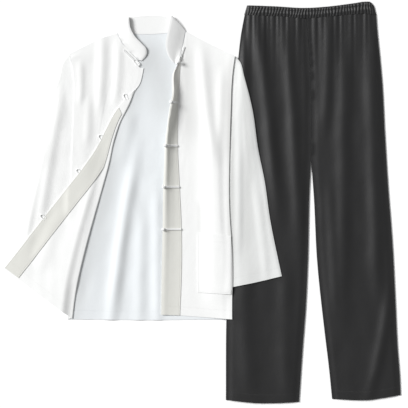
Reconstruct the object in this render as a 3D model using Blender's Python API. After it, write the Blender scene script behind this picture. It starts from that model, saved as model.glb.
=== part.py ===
"""A tai chi uniform laid out flat: a stand-collar jacket with its right front turned back, partly over trousers.

Metres, +Z up, +Y towards the collar. The origin is on the floor under the middle of the set. Each garment has
its own flat frame: "across" grows to the right and "up" grows from the hem. Left and right in names are the
wearer's.
"""

import math

import bmesh
import bpy
import numpy as np

# Cloth
CLOTH = 0.0012  # one layer of the uniform's cloth
COLLAR_CLOTH = 0.0018  # the collar is double and stiffened
TRIM_CLOTH = 0.0009  # pocket, button band and facing, on top of a panel
BAR_CLOTH = 0.0022  # the flat bar of a frog
BAR_WIDTH = 0.005
SEAM_GAP = 0.0006  # between panels that are sewn edge to edge
LAYER_GAP = 0.0005  # between layers that lie on each other

# Where each garment lies
JACKET_AT = np.array([-0.1336, -0.3055])  # middle of the jacket's hem
TROUSERS_AT = np.array([0.2824, -0.5187])  # below the crotch, level with the trouser hems

# Trims
TURN_RADIUS = 0.003  # of the roll where the right front turns back
TURN_LENGTH = math.pi * TURN_RADIUS
BAND_WIDTH = 0.044  # button band on the left front, facing on the turned one
WAIST_GATHERS = 28
KNOT_RADIUS = 0.0045
LOOP_CORD = 0.0012  # radius of the cord that a loop is made of
LOOP_HALF_WIDTH = 0.0042
LOOP_REACH = 0.010

# Colours, roughness
WHITE = ("white_cloth", (0.86, 0.86, 0.85, 1.0), 0.85)
BLACK = ("black_cloth", (0.028, 0.028, 0.029, 1.0), 0.80)


# Curves and lattices

def smooth_rows(shares, rows):
    """A function from a share to the row there, smoothly between the rows of a table."""
    shares = np.array(shares, float)
    rows = np.array(rows, float)
    slopes = np.gradient(rows, shares, axis=0)

    def at(share):
        share = np.clip(np.asarray(share, float), shares[0], shares[-1])
        i = np.clip(np.searchsorted(shares, share, side="right") - 1, 0, len(shares) - 2)
        span = (shares[i + 1] - shares[i])[..., None]
        s = (share - shares[i])[..., None] / span
        start = rows[i] * (1 + 2 * s) * (1 - s) ** 2 + slopes[i] * span * s * (1 - s) ** 2
        end = rows[i + 1] * s * s * (3 - 2 * s) - slopes[i + 1] * span * s * s * (1 - s)
        return start + end

    return at


def smooth_curve(points):
    """A function from 0..1 to the smooth curve through the points, even in length."""
    points = np.array(points, float)
    steps = np.linalg.norm(np.diff(points, axis=0), axis=1)
    shares = np.concatenate([[0.0], np.cumsum(steps)]) / steps.sum()
    return smooth_rows(shares, points)


def straight_between(curve, shares):
    """The curve made of straight steps between these shares of it, so that two edges sewn to it meet."""
    nodes = curve(shares)
    return lambda share: np.stack([np.interp(share, shares, nodes[:, i]) for i in range(2)], axis=-1)


def chain(*parts):
    """Curves end to end, given as (share of the whole, curve), with a corner at each join."""

    def at(share):
        share = np.asarray(share, float)
        found = np.zeros(share.shape + (2,))
        start = 0.0
        for size, curve in parts:
            here = (share >= start - 1e-9) & (share <= start + size + 1e-9)
            found[here] = curve((share[here] - start) / size)
            start += size
        return found

    return at


def lattice(left, right, top, bottom, columns, rows):
    """Points that fill four edge curves. Rows run from the top edge down, columns from the left edge."""
    across = np.linspace(0, 1, columns + 1) if np.isscalar(columns) else np.array(columns, float)
    down = np.linspace(0, 1, rows + 1) if np.isscalar(rows) else np.array(rows, float)
    u = across[None, :, None]
    v = down[:, None, None]
    ends = np.array([0.0, 1.0])
    top_ends = top(ends)
    bottom_ends = bottom(ends)
    sides = (1 - u) * left(down)[:, None] + u * right(down)[:, None]
    caps = (1 - v) * top(across)[None] + v * bottom(across)[None]
    upper = (1 - u) * top_ends[0] + u * top_ends[1]
    lower = (1 - u) * bottom_ends[0] + u * bottom_ends[1]
    return sides + caps - (1 - v) * upper - v * lower


def lattice_faces(rows, columns, closed=False):
    """Two triangles for each square of a lattice, facing up where rows run down and columns to the right."""
    faces = []
    for i in range(rows - 1):
        for j in range(columns if closed else columns - 1):
            k = (j + 1) % columns
            a, b = i * columns + j, i * columns + k
            c, d = a + columns, b + columns
            faces += [(a, c, d), (a, d, b)]
    return np.array(faces)


def ramp(x):
    """0 below 0, 1 above 1, smooth between."""
    x = np.clip(x, 0, 1)
    return x * x * (3 - 2 * x)


def relief(points, folds):
    """Height of the folds at each point. A fold is (start, bend, end, half width, height) and fades at its ends."""
    height = np.zeros(points.shape[:-1])
    t = np.linspace(0, 1, 33)[:, None]
    for start, bend, end, width, peak in folds:
        line = (1 - t) ** 2 * np.array(start) + 2 * t * (1 - t) * np.array(bend) + t * t * np.array(end)
        away = np.linalg.norm(points[..., None, :] - line, axis=-1)
        along = t[away.argmin(-1), 0]
        fade = ramp(along / 0.3) * ramp((1 - along) / 0.3)
        height += peak * fade * np.exp(-((away.min(-1) / width) ** 2))
    return height


def lens(columns, rows, height, edge=0.16):
    """The low swell of a panel that lies on another: none at its side edges, even in the middle."""
    across = np.linspace(0, 1, columns) if np.isscalar(columns) else np.array(columns, float)
    swell = ramp(across / edge) * ramp((1 - across) / edge)
    return np.repeat(height * swell[None], rows, axis=0)


class Pile:
    """Heights of the top of all that has been laid down, on a fine square grid over the floor."""

    CELL = 0.0015
    HALF = 0.54

    def __init__(self):
        self.count = int(2 * self.HALF / self.CELL)
        self.top = np.zeros(self.count * self.count)

    def cells(self, points, faces):
        """For each cell under the faces: its index, the face over it, the weights of that face's corners."""
        found = []
        for k, corners in enumerate(points[faces]):
            low = np.floor((corners.min(0) + self.HALF) / self.CELL).astype(int)
            high = np.ceil((corners.max(0) + self.HALF) / self.CELL).astype(int)
            column, row = np.meshgrid(np.arange(low[0], high[0] + 1), np.arange(low[1], high[1] + 1))
            x = (column + 0.5) * self.CELL - self.HALF
            y = (row + 0.5) * self.CELL - self.HALF
            (ax, ay), (bx, by), (cx, cy) = corners
            area = (bx - ax) * (cy - ay) - (cx - ax) * (by - ay)
            if abs(area) < 1e-12:
                continue
            wb = ((x - ax) * (cy - ay) - (cx - ax) * (y - ay)) / area
            wc = ((bx - ax) * (y - ay) - (x - ax) * (by - ay)) / area
            weights = np.stack([1 - wb - wc, wb, wc], axis=-1)
            inside = (weights >= -1e-6).all(-1)
            cell = (row * self.count + column)[inside]
            found.append((cell, np.full(len(cell), k), weights[inside]))
        return tuple(np.concatenate([f[i] for f in found]) for i in range(3))

    def settle(self, points, rise, wall, rounds=14, gap=LAYER_GAP, clear=0):
        """Middle heights of a sheet that lies over the pile with its own rise, eased between what holds it up.

        It also clears what lies within some cells of its edges.
        """
        rows, columns = rise.shape
        faces = lattice_faces(rows, columns)
        cell, face, weights = self.cells(points.reshape(-1, 2), faces)
        top = self.top[cell]
        for step_y in range(-clear, clear + 1):
            for step_x in range(-clear, clear + 1):
                top = np.maximum(top, self.top[cell + step_y * self.count + step_x])
        needed = top + np.where(top > 0, gap, 0.0)
        lift = np.zeros((rows, columns))
        for _ in range(rounds):
            wide = np.pad(lift, 1, mode="edge")
            around = wide[:-2, 1:-1] + wide[2:, 1:-1] + wide[1:-1, :-2] + wide[1:-1, 2:]
            lift = 0.5 * lift + 0.125 * around
            height = (lift + rise).reshape(-1)
            short = needed - (weights * height[faces[face]]).sum(1)
            push = np.zeros(height.size)
            for corner in range(3):
                np.maximum.at(push, faces[face, corner], short)
            lift += push.reshape(rows, columns)
        return lift + rise + wall / 2

    def add(self, points, middle, wall):
        """Lays a sheet with these middle heights on the pile."""
        rows, columns = middle.shape
        faces = lattice_faces(rows, columns)
        cell, face, weights = self.cells(points.reshape(-1, 2), faces)
        height = (weights * (middle + wall / 2).reshape(-1)[faces[face]]).sum(1)
        np.maximum.at(self.top, cell, height)

    def height_near(self, point, radius):
        """The highest top within this distance of a point."""
        column = int((point[0] + self.HALF) / self.CELL)
        row = int((point[1] + self.HALF) / self.CELL)
        reach = int(math.ceil(radius / self.CELL))
        grid = self.top.reshape(self.count, self.count)
        return grid[row - reach : row + reach + 1, column - reach : column + reach + 1].max()

    def raise_near(self, point, radius, height):
        """Marks something small lying at a point."""
        column = int((point[0] + self.HALF) / self.CELL)
        row = int((point[1] + self.HALF) / self.CELL)
        reach = int(math.ceil(radius / self.CELL))
        grid = self.top.reshape(self.count, self.count)
        patch = grid[row - reach : row + reach + 1, column - reach : column + reach + 1]
        np.maximum(patch, height, out=patch)


# Solids

def material(name, colour, roughness):
    """A plain Principled material, made once."""
    made = bpy.data.materials.get(name)
    if made is None:
        made = bpy.data.materials.new(name)
        made.use_nodes = True
        shader = made.node_tree.nodes["Principled BSDF"]
        shader.inputs["Base Color"].default_value = colour
        shader.inputs["Roughness"].default_value = roughness
        shader.inputs["Metallic"].default_value = 0.0
    return made


def solid(name, points, faces, finish):
    """A closed mesh object whose faces point out."""
    faces = np.array(faces)
    a, b, c = (points[faces[:, i]] - points[0] for i in range(3))
    if (a * np.cross(b, c)).sum() < 0:
        faces = faces[:, ::-1]
    mesh = bpy.data.meshes.new(name)
    mesh.from_pydata(points.tolist(), [], faces.tolist())
    mesh.materials.append(material(*finish))
    made = bpy.data.objects.new(name, mesh)
    bpy.context.scene.collection.objects.link(made)
    return made


def directions(middle, axis, closed=False):
    """The direction of a lattice's lines at each point, and the cosine of half the bend there."""
    step = np.diff(middle, axis=axis, append=middle.take([0], axis))
    step /= np.linalg.norm(step, axis=-1, keepdims=True)
    last = middle.shape[axis] - 1
    if closed:
        after, before = step, np.roll(step, 1, axis=axis)
    else:
        inner = step.take(range(last), axis)
        after = np.concatenate([inner, inner.take([last - 1], axis)], axis=axis)
        before = np.concatenate([inner.take([0], axis), inner], axis=axis)
    both = after + before
    length = np.linalg.norm(both, axis=-1, keepdims=True)
    return both / length, np.clip(length / 2, 0.6, 1)


def moved_out(middle, distance, closed=False):
    """A lattice moved along its own normals, up where its rows run down and its columns to the right."""
    down, bend_down = directions(middle, 0)
    around, bend_around = directions(middle, 1, closed)
    normal = np.cross(down, around)
    normal /= np.linalg.norm(normal, axis=-1, keepdims=True)
    return middle + normal * distance / (bend_down * bend_around)


def cloth_wall(name, middle, thickness, finish, closed=False):
    """A wall of cloth around a lattice of middle points. A closed one is a tube whose columns go round."""
    rows, columns = middle.shape[:2]
    face = moved_out(middle, thickness / 2, closed).reshape(-1, 3)
    back = moved_out(middle, -thickness / 2, closed).reshape(-1, 3)
    faces = [tuple(f) for f in lattice_faces(rows, columns, closed)]
    far = rows * columns
    faces += [(c + far, b + far, a + far) for a, b, c in faces]
    rim = [(i * columns + columns - 1, (i + 1) * columns + columns - 1) for i in range(rows - 1)]
    rim += [((i + 1) * columns, i * columns) for i in range(rows - 1)]
    if closed:
        rim = []
    last = (rows - 1) * columns
    for j in range(columns if closed else columns - 1):
        k = (j + 1) % columns
        rim += [(j, k), (last + k, last + j)]
    for a, b in rim:
        faces += [(a, b, b + far), (a, b + far, a + far)]
    return solid(name, np.concatenate([face, back]), faces, finish)


def with_height(points, height):
    """Flat points and their heights as points in space."""
    return np.concatenate([points, height[..., None]], axis=-1)


def lay_panel(pile, name, points, rise, thickness, finish, clear=0):
    """Lays a panel on the pile and makes its solid."""
    height = pile.settle(points, rise, thickness, clear=clear)
    pile.add(points, height, thickness)
    cloth_wall(name, with_height(points, height), thickness, finish)


def lay_tube(pile, name, points, rise, thickness, finish):
    """Lays a flattened tube on the pile: an under layer, an upper layer with the rise, folded side edges."""
    under = pile.settle(points, np.zeros_like(rise), thickness)
    pile.add(points, under, thickness)
    upper = pile.settle(points, rise, thickness)
    edges = (under + upper) / 2
    upper[:, 0] = edges[:, 0]
    upper[:, -1] = edges[:, -1]
    pile.add(points, upper, thickness)
    over = with_height(points, upper)
    below = with_height(points, under)[:, -2:0:-1]
    cloth_wall(name, np.concatenate([over, below], axis=1), thickness, finish, closed=True)


def placed(table, place):
    """A table of (across, up) points, moved to where its garment lies."""
    return np.array(table, float) + place


def placed_folds(table, place):
    """A table of folds, moved to where its garment lies."""
    return [
        (np.array(start) + place, np.array(bend) + place, np.array(end) + place, width, height)
        for start, bend, end, width, height in table
    ]


# Trousers: across from the crotch, up from the hems

WAIST_TOP = [(-0.165, 1.031), (-0.091, 1.028), (-0.016, 1.024), (0.047, 1.028), (0.110, 1.036),
             (0.145, 1.0405),
             (0.1535, 1.0400), (0.163, 1.030)]
WAIST_SEAM = [(-0.1725, 1.006), (-0.091, 1.003), (-0.012, 0.998), (0.047, 1.002), (0.110, 1.008),
              (0.145, 1.009),
              (0.1695, 1.005)]
CENTRE_SEAM = [(-0.012, 0.998), (-0.004, 0.905), (0.001, 0.760), (0.000, 0.629)]
CENTRE_SHARE = 0.375  # of a leg's inner edge, from the waist to the crotch
BACK_COLUMNS = 7  # of each leg's back panel; the front has twice as many

LEGS = {
    # the wearer's right leg, on the left
    "right": {
        "outer": [(-0.1725, 1.006), (-0.182, 0.954), (-0.188, 0.902), (-0.194, 0.785), (-0.202, 0.629),
                  (-0.211, 0.447), (-0.220, 0.208), (-0.221, 0.005)],
        "inseam": [(0.000, 0.629), (-0.004, 0.543), (-0.008, 0.369), (-0.014, 0.239), (-0.021, 0.148),
                   (-0.031, 0.000)],
        "hem": [(-0.221, 0.005), (-0.133, -0.003), (-0.031, 0.000)],
    },
    # the wearer's left leg, on the right
    "left": {
        "outer": [(0.1695, 1.005), (0.1725, 0.965), (0.180, 0.889), (0.185, 0.832), (0.192, 0.699),
                  (0.200, 0.567),
                  (0.212, 0.408), (0.220, 0.250), (0.225, 0.143), (0.231, 0.065), (0.233, 0.018)],
        "inseam": [(0.000, 0.629), (0.007, 0.543), (0.016, 0.369), (0.036, 0.179), (0.047, 0.088),
                   (0.055, 0.008)],
        "hem": [(0.055, 0.008), (0.140, 0.005), (0.233, 0.018)],
    },
}

# start, bend, end, half width, height
TROUSER_FOLDS = [
    ((-0.150, 1.040), (-0.110, 0.780), (-0.080, 0.400), 0.017, 0.0060),
    ((-0.076, 1.040), (-0.040, 0.760), (-0.030, 0.330), 0.016, 0.0050),
    ((-0.176, 0.960), (-0.178, 0.800), (-0.150, 0.560), 0.012, 0.0035),
    ((-0.165, 0.420), (-0.185, 0.200), (-0.150, -0.060), 0.024, 0.0040),
    ((-0.060, 0.400), (-0.075, 0.200), (-0.060, -0.060), 0.020, 0.0030),
    ((0.040, 1.040), (0.050, 0.880), (0.030, 0.640), 0.014, 0.0035),
    ((0.085, 1.020), (0.085, 0.560), (0.080, 0.120), 0.020, 0.0050),
    ((0.156, 1.040), (0.156, 0.600), (0.180, 0.180), 0.018, 0.0050),
    ((0.045, 0.620), (0.055, 0.400), (0.065, 0.180), 0.013, 0.0025),
    ((0.205, 0.330), (0.195, 0.160), (0.140, -0.020), 0.014, 0.0040),
]


def waist_gathers(points, waist, height, count, fade):
    """Small ripples that run down from the waist seam."""
    middle = TROUSERS_AT[0]
    below = waist(np.linspace(0, 1, 40))
    seam = np.interp(points[..., 0], below[:, 0], below[:, 1])
    down = np.clip(seam - points[..., 1], 0, None)
    ripple = 0.5 + 0.5 * np.cos((points[..., 0] - middle) * count * 2 * math.pi / 0.346)
    return height * ripple * np.exp(-down / fade)


def leg_lattice(side, columns, rows):
    """A leg panel from the waist seam to the hem. Rows are shared by both legs, so their centre seams meet."""
    leg = LEGS[side]
    outer = smooth_curve(placed(leg["outer"], TROUSERS_AT))
    shift = TROUSERS_AT + (-SEAM_GAP / 2 if side == "right" else SEAM_GAP / 2, 0.0)
    centre = smooth_curve(placed(CENTRE_SEAM, shift))
    inseam = smooth_curve(placed(leg["inseam"], shift))
    inner = chain((CENTRE_SHARE, centre), (1 - CENTRE_SHARE, inseam))
    seam, centre_at = waist_seam()
    hem = smooth_curve(placed(leg["hem"], TROUSERS_AT))
    upper_rows = round(rows * CENTRE_SHARE)
    down = np.concatenate([
        np.linspace(0, CENTRE_SHARE, upper_rows + 1),
        np.linspace(CENTRE_SHARE, 1, rows - upper_rows + 1)[1:],
    ])

    def waist(share):
        if side == "right":
            return seam(share * centre_at)
        return seam(centre_at + share * (1 - centre_at))

    if side == "right":
        return lattice(outer, inner, waist, hem, columns, down)
    return lattice(inner, outer, waist, hem, columns, down)


def waist_seam():
    """The seam under the waistband, and the share of it where the centre seam starts."""
    seam = smooth_curve(placed(WAIST_SEAM, TROUSERS_AT))
    shares = np.linspace(0, 1, 400)
    centre_at = float(np.interp(CENTRE_SEAM[0][0] + TROUSERS_AT[0], seam(shares)[:, 0], shares))
    return straight_between(seam, both_legs(centre_at, BACK_COLUMNS)), centre_at


def both_legs(centre_at, columns):
    """Shares of the waist seam that give each leg this many columns."""
    left = np.linspace(0, centre_at, columns + 1)
    right = np.linspace(centre_at, 1, columns + 1)
    return np.concatenate([left, right[1:]])


def trousers(pile):
    """Two back panels flat on the floor, two fronts on them, and the elastic waistband."""
    seam, _ = waist_seam()
    folds = placed_folds(TROUSER_FOLDS, TROUSERS_AT)
    for side in LEGS:
        points = leg_lattice(side, BACK_COLUMNS, 16)
        lay_panel(pile, f"trouser_back_{side}", points, np.zeros(points.shape[:2]), CLOTH, BLACK)
    for side in LEGS:
        points = leg_lattice(side, 2 * BACK_COLUMNS, 24)
        rise = lens(2 * BACK_COLUMNS + 1, 25, 0.0030) + np.clip(relief(points, folds), -0.002, None)
        rise += waist_gathers(points, seam, 0.0030, 11, 0.035) * lens(2 * BACK_COLUMNS + 1, 25, 1.0,
        edge=0.08)
        lay_panel(pile, f"trouser_front_{side}", points, rise, CLOTH, BLACK)
    waistband(pile)


def waistband(pile):
    """A flattened ring of gathered cloth over elastic, above the panels."""
    top = smooth_curve(placed(WAIST_TOP, TROUSERS_AT))
    seam, centre_at = waist_seam()
    under_every = WAIST_GATHERS // BACK_COLUMNS
    columns = 2 * WAIST_GATHERS

    def lower(share):
        return seam(share) + (0.0, SEAM_GAP)

    ends = np.array([0.0, 1.0])
    left = smooth_curve([top(ends)[0], lower(ends)[0]])
    right = smooth_curve([top(ends)[1], lower(ends)[1]])
    front = lattice(left, right, top, lower, both_legs(centre_at, WAIST_GATHERS), 3)
    under = pile.settle(front, np.zeros(front.shape[:2]), CLOTH)
    swell = np.sqrt(np.clip(1 - np.linspace(-1, 1, columns + 1) ** 8, 0, 1))
    ripple = 0.0022 * (np.arange(columns + 1) % 2)
    profile = np.array([0.55, 1.0, 1.0, 0.7])[:, None]
    upper = under + CLOTH + (0.0040 * swell + ripple * swell)[None] * profile + LAYER_GAP
    upper[:, 0] = upper[:, -1] = (under[:, 0] + CLOTH)
    pile.add(front, upper, CLOTH)
    over = with_height(front, upper)
    below = with_height(front, under)[:, -1 - under_every : 0 : -under_every]
    cloth_wall("waistband", np.concatenate([over, below], axis=1), CLOTH, BLACK, closed=True)


# Jacket: across from its centre line, up from its hem

SHOULDER_RIGHT = [(-0.211, 0.692), (-0.174, 0.711), (-0.133, 0.731), (-0.088, 0.746)]
SHOULDER_LEFT = [(0.091, 0.751), (0.127, 0.731), (0.169, 0.710), (0.218, 0.685)]
NECK_BACK = [(-0.088, 0.746), (0.000, 0.743), (0.091, 0.751)]
NECK_FRONT_RIGHT = [(-0.088, 0.746), (-0.075, 0.720), (-0.055, 0.697), (-0.034, 0.675)]
NECK_FRONT_LEFT = [(0.068, 0.658), (0.0735, 0.680), (0.079, 0.700), (0.085, 0.723), (0.091, 0.751)]
ARMHOLE_RIGHT = [(-0.211, 0.692), (-0.201, 0.640), (-0.198, 0.598), (-0.200, 0.556)]
ARMHOLE_LEFT = [(0.218, 0.685), (0.213, 0.650), (0.209, 0.600), (0.208, 0.562)]
SIDE_RIGHT = [(-0.200, 0.556), (-0.205, 0.400), (-0.211, 0.200), (-0.217, 0.002)]
SIDE_LEFT = [(0.208, 0.562), (0.205, 0.468), (0.205, 0.260), (0.209, 0.208), (0.211, 0.002)]
HEM = [(-0.217, 0.002), (0.000, 0.000), (0.211, 0.002)]
HEM_FRONT_LEFT = [(0.027, 0.014), (0.075, 0.012), (0.140, 0.009), (0.211, 0.006)]
EDGE_LEFT = [(0.068, 0.658), (0.059, 0.640), (0.057, 0.582), (0.049, 0.541), (0.043, 0.499), (0.038, 0.458),
             (0.036, 0.406), (0.033, 0.343), (0.031, 0.234), (0.028, 0.104), (0.027, 0.014)]
# The right border of the left front's button band, and how high its edge stands: share down the edge, metres
BAND_BORDER = [(0.079, 0.700), (0.074, 0.640), (0.0705, 0.564), (0.069, 0.452), (0.074, 0.346),
               (0.079, 0.239),
               (0.0795, 0.140), (0.075, 0.012)]
EDGE_RISE = [(0.00, 0.008), (0.07, 0.015), (0.15, 0.021), (0.32, 0.016), (0.49, 0.012), (0.66, 0.008),
             (1.00, 0.004)]
ARMHOLE_SHARE = 0.2  # of a panel's side edge, from the shoulder to the underarm

SLEEVES = {
    # the wearer's right sleeve, on the left
    "right": {
        "outer": [(-0.212, 0.692), (-0.227, 0.676), (-0.237, 0.640), (-0.263, 0.562), (-0.289, 0.447),
                  (-0.309, 0.354), (-0.330, 0.281), (-0.343, 0.208), (-0.354, 0.138)],
        "inner": [(-0.180, 0.552), (-0.178, 0.507), (-0.170, 0.416), (-0.168, 0.312), (-0.179, 0.208),
                  (-0.201, 0.107)],
        "armhole": [(-0.212, 0.692), (-0.200, 0.640), (-0.190, 0.598), (-0.180, 0.552)],
        "cuff": [(-0.354, 0.138), (-0.280, 0.119), (-0.201, 0.107)],
    },
    # the wearer's left sleeve, on the right
    "left": {
        "outer": [(0.219, 0.685), (0.231, 0.670), (0.241, 0.634), (0.263, 0.546), (0.278, 0.442),
                  (0.294, 0.364),
                  (0.309, 0.260), (0.330, 0.156), (0.339, 0.114)],
        "inner": [(0.188, 0.555), (0.186, 0.507), (0.174, 0.416), (0.168, 0.312), (0.173, 0.208),
                  (0.185, 0.079)],
        "armhole": [(0.219, 0.685), (0.210, 0.645), (0.199, 0.600), (0.188, 0.555)],
        "cuff": [(0.339, 0.114), (0.276, 0.099), (0.213, 0.086), (0.185, 0.079)],
    },
}
SLEEVE_COLUMNS = [0, 0.05, 0.17, 0.31, 0.46, 0.60, 0.74, 0.86, 0.95, 1]

# start, bend, end, half width, height
SLEEVE_FOLDS = [
    ((-0.225, 0.640), (-0.262, 0.440), (-0.300, 0.180), 0.015, 0.0045),
    ((-0.262, 0.520), (-0.300, 0.350), (-0.336, 0.150), 0.010, 0.0030),
    ((0.226, 0.700), (0.230, 0.400), (0.226, 0.060), 0.013, 0.0060),
    ((0.262, 0.400), (0.290, 0.240), (0.306, 0.040), 0.013, 0.0045),
]
BACK_FOLDS = [
    ((-0.112, -0.080), (-0.085, 0.200), (-0.026, 0.500), 0.016, 0.0065),
    ((-0.030, -0.080), (-0.030, 0.140), (-0.020, 0.320), 0.016, 0.0030),
    ((0.020, -0.080), (0.014, 0.160), (0.016, 0.420), 0.015, 0.0040),
    ((-0.165, -0.030), (-0.150, 0.120), (-0.120, 0.260), 0.012, 0.0035),
    ((-0.050, 0.560), (-0.060, 0.480), (-0.085, 0.380), 0.018, 0.0030),
]
LEFT_FRONT_FOLDS = [
    ((0.126, 0.760), (0.140, 0.560), (0.166, 0.380), 0.016, 0.0055),
    ((0.156, 0.560), (0.168, 0.300), (0.170, -0.080), 0.032, 0.0090),
    ((0.190, 0.680), (0.180, 0.560), (0.184, 0.440), 0.012, 0.0030),
]
OVER_TROUSERS = [((0.236, 0.720), (0.222, 0.560), (0.214, 0.400), 0.030, 0.0040)]
RIGHT_FRONT_FOLDS = [
    ((-0.128, 0.780), (-0.124, 0.640), (-0.140, 0.500), 0.014, 0.0045),
    ((-0.084, 0.760), (-0.082, 0.640), (-0.100, 0.530), 0.013, 0.0040),
    ((-0.186, 0.690), (-0.178, 0.620), (-0.186, 0.540), 0.009, 0.0030),
    ((-0.160, 0.600), (-0.160, 0.520), (-0.172, 0.430), 0.012, 0.0030),
]
FLAP_FOLDS = [((-0.230, 0.300), (-0.270, 0.210), (-0.290, 0.110), 0.020, 0.0030)]

# The right front's edge, from the collar down: share of its length, where it turns back (across, up), how far it
# laps back from there, the direction of the lap (degrees above straight left), and how far it has turned (degrees)
RIGHT_FRONT_TURN = [
    (0.000, -0.029, 0.655, 0.000, 0, 0),
    (0.050, -0.036, 0.624, 0.001, 10, 30),
    (0.090, -0.047, 0.597, 0.005, 45, 110),
    (0.133, -0.056, 0.569, 0.014, 62, 175),
    (0.222, -0.084, 0.511, 0.027, 63, 180),
    (0.288, -0.098, 0.468, 0.035, 60, 180),
    (0.379, -0.111, 0.409, 0.049, 52, 180),
    (0.478, -0.129, 0.344, 0.070, 47, 180),
    (0.597, -0.151, 0.267, 0.100, 43, 180),
    (0.716, -0.172, 0.190, 0.131, 41, 180),
    (0.913, -0.200, 0.062, 0.187, 38, 180),
    (1.000, -0.207, 0.005, 0.217, 36.5, 180),
]
FRONT_ROWS = [0, 0.025, 0.05, 0.075, 0.10, 0.133, 0.165, 0.20, 0.24, 0.288, 0.34, 0.40, 0.46, 0.52, 0.58,
0.64, 0.70,
              0.76, 0.82, 0.88, 0.94, 1]
TURN_STEPS = 3
FLAP_CREST = 0.011  # how high the turned-back part stands beside its roll
FLAP_STEPS = 8

BODY_ROWS = 20
BAND_COLUMNS = [0, 0.09, 0.38, 0.68, 1]
BAND_SLOPE = [0.86, 1.0, 0.62, 0.26, 0.0]  # height across the band, as a share of the edge's rise
LEFT_FRONT_COLUMNS = [0, 0.12, 0.25, 0.37, 0.48, 0.58, 0.68, 0.78, 0.88, 1]

POCKET = {"left": 0.122, "right": 0.2075, "top": (0.229, 0.219), "bottom": (0.072, 0.067)}

FROG_UPS = [0.565, 0.453, 0.346, 0.236]  # height of each left-front knot above the hem
KNOT_COLUMN = 0.4  # where a knot sits, by number of the band's columns
BAR_END_COLUMN = 3.9
# Place of each loop, as a share of the right front's edge
LOOPS = [0.14, 0.335, 0.50, 0.735]
COLLAR_KNOT = [(0.0725, 0.6705), (0.086, 0.7085)]  # the knot, and the far end of its bar
COLLAR_LOOP = [(-0.0375, 0.6695), (-0.0695, 0.7005)]


def at_jacket(points):
    return placed(points, JACKET_AT)


def sleeves(pile):
    """Two flattened sleeves whose tops and inner edges lie under the body."""
    folds = placed_folds(SLEEVE_FOLDS, JACKET_AT)
    for side, sleeve in SLEEVES.items():
        # The armhole and the cuff both run from the outer edge to the inner one.
        outer, inner, armhole, cuff = (
            smooth_curve(at_jacket(sleeve[edge])) for edge in ("outer", "inner", "armhole", "cuff")
        )
        points = lattice(outer, inner, armhole, cuff, SLEEVE_COLUMNS, 16)
        if side == "left":
            points = points[:, ::-1]
        rise = lens(SLEEVE_COLUMNS, 17, 0.0016, edge=0.2) + relief(points, folds)
        rise *= ramp(np.linspace(0, 1, 17) / 0.25)[:, None]
        lay_tube(pile, f"sleeve_{side}", points, rise, CLOTH, WHITE)


def body_side(side):
    """A panel's edge from the shoulder, down the armhole and the side seam, to the hem."""
    armhole, seam = (ARMHOLE_RIGHT, SIDE_RIGHT) if side == "right" else (ARMHOLE_LEFT, SIDE_LEFT)
    return chain(
        (ARMHOLE_SHARE, smooth_curve(at_jacket(armhole))),
        (1 - ARMHOLE_SHARE, smooth_curve(at_jacket(seam))),
    )


def back_panel(pile):
    """The back, inside up, lying on the floor."""
    top = chain(
        (0.3, smooth_curve(at_jacket(SHOULDER_RIGHT))),
        (0.4, smooth_curve(at_jacket(NECK_BACK))),
        (0.3, smooth_curve(at_jacket(SHOULDER_LEFT))),
    )
    hem = smooth_curve(at_jacket(HEM))
    points = lattice(body_side("right"), body_side("left"), top, hem, 20, BODY_ROWS)
    rise = relief(points, placed_folds(BACK_FOLDS, JACKET_AT))
    rise[:, 14:] *= 0.0
    lay_panel(pile, "jacket_back", points, rise, CLOTH, WHITE, clear=1)


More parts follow.
